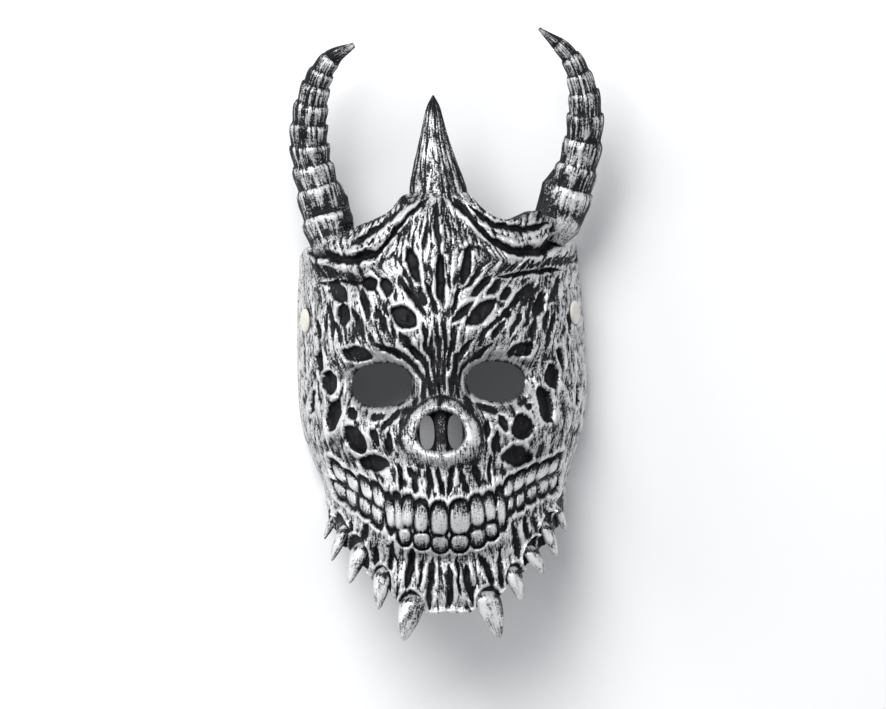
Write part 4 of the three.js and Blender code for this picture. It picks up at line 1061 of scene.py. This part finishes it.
# A fang under the jaw's edge: its root is sunk in the wall, and it bends a little forward
def makeFang(fang):
    rootX, rootY, tipX, tipY, width = fang
    shape, brush = fangShape, fangPaint
    turn = turnAt(np.array(rootX), np.array(rootY))
    top = np.array(rootY + shape["sunkHeight"])
    root = facePoint(turn, np.array(rootY), shape["rootDepth"] * width)
    sunk = facePoint(turnAt(np.array(rootX), top), top, shape["sunkDepth"] * width)
    tip = root + np.array([tipX - rootX, tipY - rootY, shape["forward"]])
    out = outward(turn)
    side = np.array([out[2], 0, -out[0]])
    angle = np.linspace(0, 2 * math.pi, shape["sides"], endpoint=False)
    # Painted light: brighter on the side of the fang that faces out
    litFacing = np.clip(np.sin(angle) * 0.7 + 0.4, -0.4, 1)
    loops, paints, streaks = [], [], []
    for share in np.linspace(0, 1, shape["rows"]):
        size = float(curveAt(shape["profile"], np.array(share)))
        under = share / shape["sunkShare"]
        below = (share - shape["sunkShare"]) / (1 - shape["sunkShare"])
        middle = sunk + (root - sunk) * under if under < 1 else root + (tip - root) * below
        worn = 1 + shape["unevenness"] * skinNoise(angle * 2, share * 5 + rootX, 41)
        loop = middle + np.cos(angle)[:, None] * side * (size * width / 2 * worn)[:, None]
        loops.append(loop + np.sin(angle)[:, None] * out * (size * width / 3 * worn)[:, None])
        dark = brush["root"] * bell(below, -0.04, 0.09)
        specks = brush["specks"] * skinNoise(angle * 3 + rootX, share * 7, 79)
        # Painted shade darkens one side of every fang
        paints.append(brush["base"] + brush["ahead"] * litFacing - brush["side"] * np.cos(angle) + specks - dark)
        streaks.append(streaksAt(angle * 4, share * 22))
    return bodyOf(loops, paints, streaks, (0.0, 0.6))


# An upright prism with a softly squared oval outline, for what goes right through
def ovalPrism(x, y, across, up, tilt, low, high):
    sides = 72
    angle = np.linspace(0, 2 * math.pi, sides, endpoint=False)
    a = np.sign(np.cos(angle)) * np.abs(np.cos(angle)) ** (2 / ovalPower) * across
    b = np.sign(np.sin(angle)) * np.abs(np.sin(angle)) ** (2 / ovalPower) * up
    cos, sin = math.cos(tilt), math.sin(tilt)
    flat = np.stack([x + a * cos - b * sin, y + a * sin + b * cos], -1)
    loops = [np.column_stack([flat, np.full(sides, level)]) for level in (low, high)]
    return loftPoints(loops), loftFaces(2, sides)


# A turned body around an axis through a point, from (radius, height) steps
def turnedBody(profile, point, axis, sides):
    turn = Vector((0, 0, 1)).rotation_difference(axis).to_matrix()
    angle = np.linspace(0, 2 * math.pi, sides, endpoint=False)
    loops = []
    for radius, height in profile:
        ring = [turn @ Vector((radius * math.cos(a), radius * math.sin(a), height)) + point for a in angle]
        loops.append(np.array([tuple(corner) for corner in ring]))
    return loftPoints(loops), loftFaces(len(loops), sides)


def rivetHole(side):
    point, axis = rivetSeat(side)
    gap = rivet["gap"]
    plateLevel, headLevel, reach = gap - shell["wall"], -gap, rivet["holeReach"]
    hole = rivet["shankRadius"] + gap
    head = rivet["headRadius"] + rivet["headRoom"]
    plate = rivet["plateRadius"] + rivet["plateRoom"]
    steps = [(0.01, plateLevel - reach), (plate, plateLevel - reach), (plate, plateLevel),
             (hole, plateLevel), (hole, headLevel), (head, headLevel), (head, reach), (0.01, reach)]
    return turnedBody(steps, point, axis, rivet["sides"])


# Normals outward, whichever way the faces were written
def turnOut(made):
    work = bmesh.new()
    work.from_mesh(made.data)
    bmesh.ops.recalc_face_normals(work, faces=work.faces)
    if work.calc_volume(signed=True) < 0:
        bmesh.ops.reverse_faces(work, faces=work.faces)
    work.to_mesh(made.data)
    work.free()
    return made


def joinInto(body, other, operation):
    change = body.modifiers.new(operation, "BOOLEAN")
    change.operation = operation
    change.solver = "MANIFOLD"
    change.object = other
    graph = bpy.context.evaluated_depsgraph_get()
    made = bpy.data.meshes.new_from_object(body.evaluated_get(graph))
    body.modifiers.remove(change)
    old = body.data
    body.data = made
    bpy.data.meshes.remove(old)
    bpy.data.objects.remove(other)


cutLevels = {"eye": (20, 120), "nostril": (60, 125)}      # how far back and forward a cut runs


def makeMask():
    known = [makeShell()]
    mask = turnOut(meshFrom("mask_casting", known[0][0], known[0][1]))
    print("shell carved:", len(mask.data.vertices), "points")
    cuts = [ovalPrism(eye["x"], eye["y"], eye["across"], eye["up"], eye["tilt"], *cutLevels["eye"])
            for eye in eyes]
    for side in (-1, 1):
        x = nose["x"] + side * (nose["septum"] + nose["nostrilWidth"]) / 2
        across, up = nose["nostrilWidth"] / 2, nose["nostrilHeight"] / 2
        cuts.append(ovalPrism(x, nose["y"] - 0.6, across, up, 0, *cutLevels["nostril"]))
    cuts += [rivetHole(-1), rivetHole(1)]
    for points, faces in cuts:
        joinInto(mask, turnOut(meshFrom("cut", points, faces)), "DIFFERENCE")
    print("openings cut:", len(mask.data.vertices), "points")
    added = [makeHorn("left"), makeHorn("right"), makeWeb("left"), makeWeb("right"), makeSpike()]
    added += [makeFang(fang) for fang in fangs]
    for points, faces, paint, streak in added:
        joinInto(mask, turnOut(meshFrom("added", points, faces)), "UNION")
    print("horns, webs, spike and fangs joined:", len(mask.data.vertices), "points")
    known += added
    paintMask(mask, known)
    mask.data.shade_smooth()
    mask.data.set_sharp_from_angle(angle=math.radians(70))
    return mask


# Carries the paint and the run of the streaks onto the joined skin from the nearest known point
def paintMask(mask, known):
    points = np.concatenate([toFrame(made[0]) for made in known])
    paints = np.concatenate([made[2] for made in known])
    streaks = np.concatenate([made[3] for made in known])
    tree = kdtree.KDTree(len(points))
    for i, point in enumerate(points):
        tree.insert(point, i)
    tree.balance()
    count = len(mask.data.vertices)
    near = [tree.find(vertex.co) for vertex in mask.data.vertices]
    index = np.array([found[1] for found in near])
    away = np.array([found[2] for found in near]) / millimetre
    silver = np.where(away > 1.2, brushing["black"], paints[index])      # new skin inside a cut is black
    attribute = mask.data.attributes.new("silver", "FLOAT", "POINT")
    attribute.data.foreach_set("value", silver.astype(np.float32))
    run = mask.data.attributes.new("streak", "FLOAT_VECTOR", "POINT")
    run.data.foreach_set("vector", streaks[index].astype(np.float32).ravel())
    print("paint carried over to", count, "points")


def makeRivet(name, side):
    point, axis = rivetSeat(side)
    inner = -shell["wall"]
    back = inner - rivet["plateHeight"]
    head, plate, shank = rivet["headRadius"], rivet["plateRadius"], rivet["shankRadius"]
    edge, rim = rivet["plateRound"], rivet["rim"]
    dome = [(head * math.cos(a), rim + (rivet["headHeight"] - rim) * math.sin(a))
            for a in np.linspace(0.12, 1.5, 9)]
    steps = [(0.05, back), (plate - edge, back), (plate, back + edge), (plate, inner - 0.2),
             (plate - 0.2, inner), (shank, inner), (shank, 0),
             (head - rivet["headRound"], 0), (head, rivet["headRound"])] + dome
    points, faces = turnedBody(steps, point, axis, rivet["sides"])
    made = turnOut(meshFrom(name, points, faces))
    made.data.shade_smooth()
    made.data.set_sharp_from_angle(angle=math.radians(50))
    return made


# A number inside a material, so that sums can be written as plain expressions
class Wire:
    def __init__(self, finish, socket):
        self.finish = finish
        self.socket = socket

    def maths(self, operation, first, second):
        return self.finish.node("ShaderNodeMath", {"operation": operation}, {0: first, 1: second})

    def __add__(self, other):
        return self.maths("ADD", self, other)

    def __radd__(self, other):
        return self.maths("ADD", other, self)

    def __sub__(self, other):
        return self.maths("SUBTRACT", self, other)

    def __rsub__(self, other):
        return self.maths("SUBTRACT", other, self)

    def __mul__(self, other):
        return self.maths("MULTIPLY", self, other)

    def __rmul__(self, other):
        return self.maths("MULTIPLY", other, self)


# A material under construction, with its main shader
class Finish:
    def __init__(self, name):
        self.material = bpy.data.materials.new(name)
        self.material.use_nodes = True
        self.tree = self.material.node_tree
        self.tree.nodes.clear()
        end = self.tree.nodes.new("ShaderNodeOutputMaterial")
        self.shader = self.tree.nodes.new("ShaderNodeBsdfPrincipled")
        self.tree.links.new(self.shader.outputs[0], end.inputs[0])

    def node(self, kind, settings=None, sockets=None, output=0):
        made = self.tree.nodes.new(kind)
        for name, value in (settings or {}).items():
            setattr(made, name, value)
        for name, value in (sockets or {}).items():
            if isinstance(value, Wire):
                self.tree.links.new(value.socket, made.inputs[name])
            else:
                made.inputs[name].default_value = value
        return Wire(self, made.outputs[output])

    def set(self, name, value):
        if isinstance(value, Wire):
            self.tree.links.new(value.socket, self.shader.inputs[name])
        else:
            self.shader.inputs[name].default_value = value

    def place(self):
        return self.node("ShaderNodeTexCoord", output=3)

    def attribute(self, name, output):
        return self.node("ShaderNodeAttribute", {"attribute_name": name}, output=output)

    def noise(self, vector, scale, detail, rough):
        return self.node("ShaderNodeTexNoise", {}, {"Vector": vector, "Scale": scale, "Detail": detail,
                                                    "Roughness": rough})

    def step(self, value, low, high):
        sockets = {0: value, 1: low, 2: high}
        return self.node("ShaderNodeMapRange", {"interpolation_type": "SMOOTHSTEP"}, sockets)

    def blend(self, share, first, second):
        return self.node("ShaderNodeMix", {"data_type": "RGBA"}, {0: share, 6: first, 7: second}, 2)

    def bump(self, height, strength, distance):
        self.set("Normal", self.node("ShaderNodeBump", {}, {"Strength": strength, "Distance": distance,
                                                           "Height": height}))


dryBrush = {
    "black": (0.006, 0.0062, 0.007, 1), "dusty": (0.018, 0.018, 0.02, 1),
    "silver": (0.74, 0.74, 0.735, 1), "worn": (0.30, 0.305, 0.315, 1),
    "gloss": 0.14,
    "speckleScale": 1000,          # specks to a metre
    "patchScale": 90,
    "strokeScale": 1.1,            # strokes to a millimetre, across the brush
    "strokeStretch": 0.13,
    "specks": 1.7, "strokes": 1.7, "patches": 0.6,      # how far each breaks up the silver's edge
    "edge": (0.34, 0.52),          # from bare black to full silver
    "shine": (0.42, 0.92),         # from worn silver to bright
    "metal": 0.5, "roughness": 0.5, "silverSmoother": 0.14,
}


# Black foam rubber with silver paint dragged over its high places with an almost dry brush
def dryBrushedRubber():
    finish = Finish("dry_brushed_rubber")
    place = finish.place()
    coverage = finish.attribute("silver", 2)
    run = finish.attribute("streak", 1)
    stretch = (1.0, dryBrush["strokeStretch"], 1.0)
    drawn = finish.node("ShaderNodeVectorMath", {"operation": "MULTIPLY"}, {0: run, 1: stretch})
    specks = finish.noise(place, dryBrush["speckleScale"], 3.0, 0.7)
    patches = finish.noise(place, dryBrush["patchScale"], 4.0, 0.6)
    strokes = finish.noise(drawn, dryBrush["strokeScale"], 4.0, 0.65)
    drag = coverage + (specks - 0.5) * dryBrush["specks"] + (strokes - 0.5) * dryBrush["strokes"]
    drag = drag + (patches - 0.5) * dryBrush["patches"]
    silver = finish.step(drag, *dryBrush["edge"])
    blackTone = finish.blend(finish.step(patches, 0.4, 0.7), dryBrush["black"], dryBrush["dusty"])
    silverTone = finish.blend(finish.step(drag, *dryBrush["shine"]), dryBrush["worn"], dryBrush["silver"])
    finish.set("Base Color", finish.blend(silver, blackTone, silverTone))
    finish.set("Metallic", silver * dryBrush["metal"])
    finish.set("Specular IOR Level", dryBrush["gloss"])
    smoother = silver * dryBrush["silverSmoother"]
    finish.set("Roughness", dryBrush["roughness"] - smoother + (specks - 0.5) * 0.16)
    finish.bump(specks * 0.3 + strokes * 0.9 + silver * 0.2, 0.6, 0.0007)
    return finish.material


ivory = {"colour": (0.75, 0.72, 0.66, 1), "shade": (0.66, 0.63, 0.56, 1)}


def ivoryPlastic():
    finish = Finish("ivory_plastic")
    place = finish.place()
    clouds = finish.noise(place, 160, 3.0, 0.5)
    grain = finish.noise(place, 1500, 2.0, 0.5)
    finish.set("Base Color", finish.blend(finish.step(clouds, 0.35, 0.7), ivory["shade"], ivory["colour"]))
    finish.set("Roughness", 0.34 + (clouds - 0.5) * 0.2)
    finish.bump(grain, 0.15, 0.0002)
    return finish.material


floorSheet = {"half": 3.0, "under": 0.0003, "dim": (0.86, 0.86, 0.86, 1),
              "bright": (0.9, 0.9, 0.9, 1)}


def paleFloor():
    finish = Finish("pale_floor")
    clouds = finish.noise(finish.place(), 3, 2.0, 0.5)
    finish.set("Base Color", finish.blend(clouds, floorSheet["dim"], floorSheet["bright"]))
    finish.set("Roughness", 0.9)
    return finish.material


photograph = {"width": 886, "height": 709, "betweenEyes": (441, 382), "pixel": 0.561,
              "lean": 0.03, "distance": 3.6, "focusHeight": 0.07}


# The camera looks straight down on the face, turned as far as the mask leans in the photograph
def makeCamera():
    across = (photograph["width"] / 2 - photograph["betweenEyes"][0]) * photograph["pixel"]
    up = (photograph["betweenEyes"][1] - photograph["height"] / 2) * photograph["pixel"]
    spot = toFrame([(across + photograph["lean"] * up, up, 0)])[0]
    data = bpy.data.cameras.new("photo_camera")
    data.sensor_width = 36
    reach = photograph["width"] * photograph["pixel"] * millimetre
    data.lens = data.sensor_width * photograph["distance"] / reach
    data.clip_end = 20
    camera = bpy.data.objects.new("photo_camera", data)
    camera.location = (spot[0], spot[1], photograph["focusHeight"] + photograph["distance"])
    camera.rotation_euler = (0, 0, -math.atan(photograph["lean"]))
    bpy.context.scene.collection.objects.link(camera)
    bpy.context.scene.camera = camera


studio = {
    "sky": (0.93, 0.95, 1.0, 1), "skyStrength": 0.42,
    "lamps": [
        {"name": "large_softbox", "at": (-0.7, 1.3, 2.1), "size": 1.5, "power": 60},
        {"name": "left_fill", "at": (-2.2, 0.2, 1.3), "size": 1.2, "power": 15},
        {"name": "right_fill", "at": (2.2, -0.1, 1.4), "size": 1.2, "power": 8},
    ],
}


def makeLights():
    for lamp in studio["lamps"]:
        data = bpy.data.lights.new(lamp["name"], "AREA")
        data.shape = "SQUARE"
        data.size = lamp["size"]
        data.energy = lamp["power"]
        made = bpy.data.objects.new(lamp["name"], data)
        made.location = lamp["at"]
        made.rotation_euler = (-Vector(lamp["at"])).to_track_quat("-Z", "Y").to_euler()
        bpy.context.scene.collection.objects.link(made)
    world = bpy.data.worlds.new("studio")
    world.use_nodes = True
    world.node_tree.nodes["Background"].inputs[0].default_value = studio["sky"]
    world.node_tree.nodes["Background"].inputs[1].default_value = studio["skyStrength"]
    bpy.context.scene.world = world
    bpy.context.scene.view_settings.view_transform = "Standard"


def makeFloor():
    half = floorSheet["half"]
    corners = [(-half, -half, 0), (half, -half, 0), (half, half, 0), (-half, half, 0)]
    mesh = bpy.data.meshes.new("floor")
    mesh.from_pydata(corners, [], [(0, 1, 2, 3)])
    floor = bpy.data.objects.new("floor", mesh)
    floor.location = (0, 0, -floorSheet["under"])
    floor.data.materials.append(paleFloor())
    bpy.context.scene.collection.objects.link(floor)


makeCamera()
makeLights()
makeFloor()
print("studio ready")

mask = makeMask()
mask.data.materials.clear()
mask.data.materials.append(dryBrushedRubber())
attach(mask, "root")
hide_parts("mask")

ivoryMaterial = ivoryPlastic()
for name, side in (("rivet_left", -1), ("rivet_right", 1)):
    made = makeRivet(name + "_head", side)
    made.data.materials.append(ivoryMaterial)
    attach(made, "root")
    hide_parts(name)
print("rivets set")
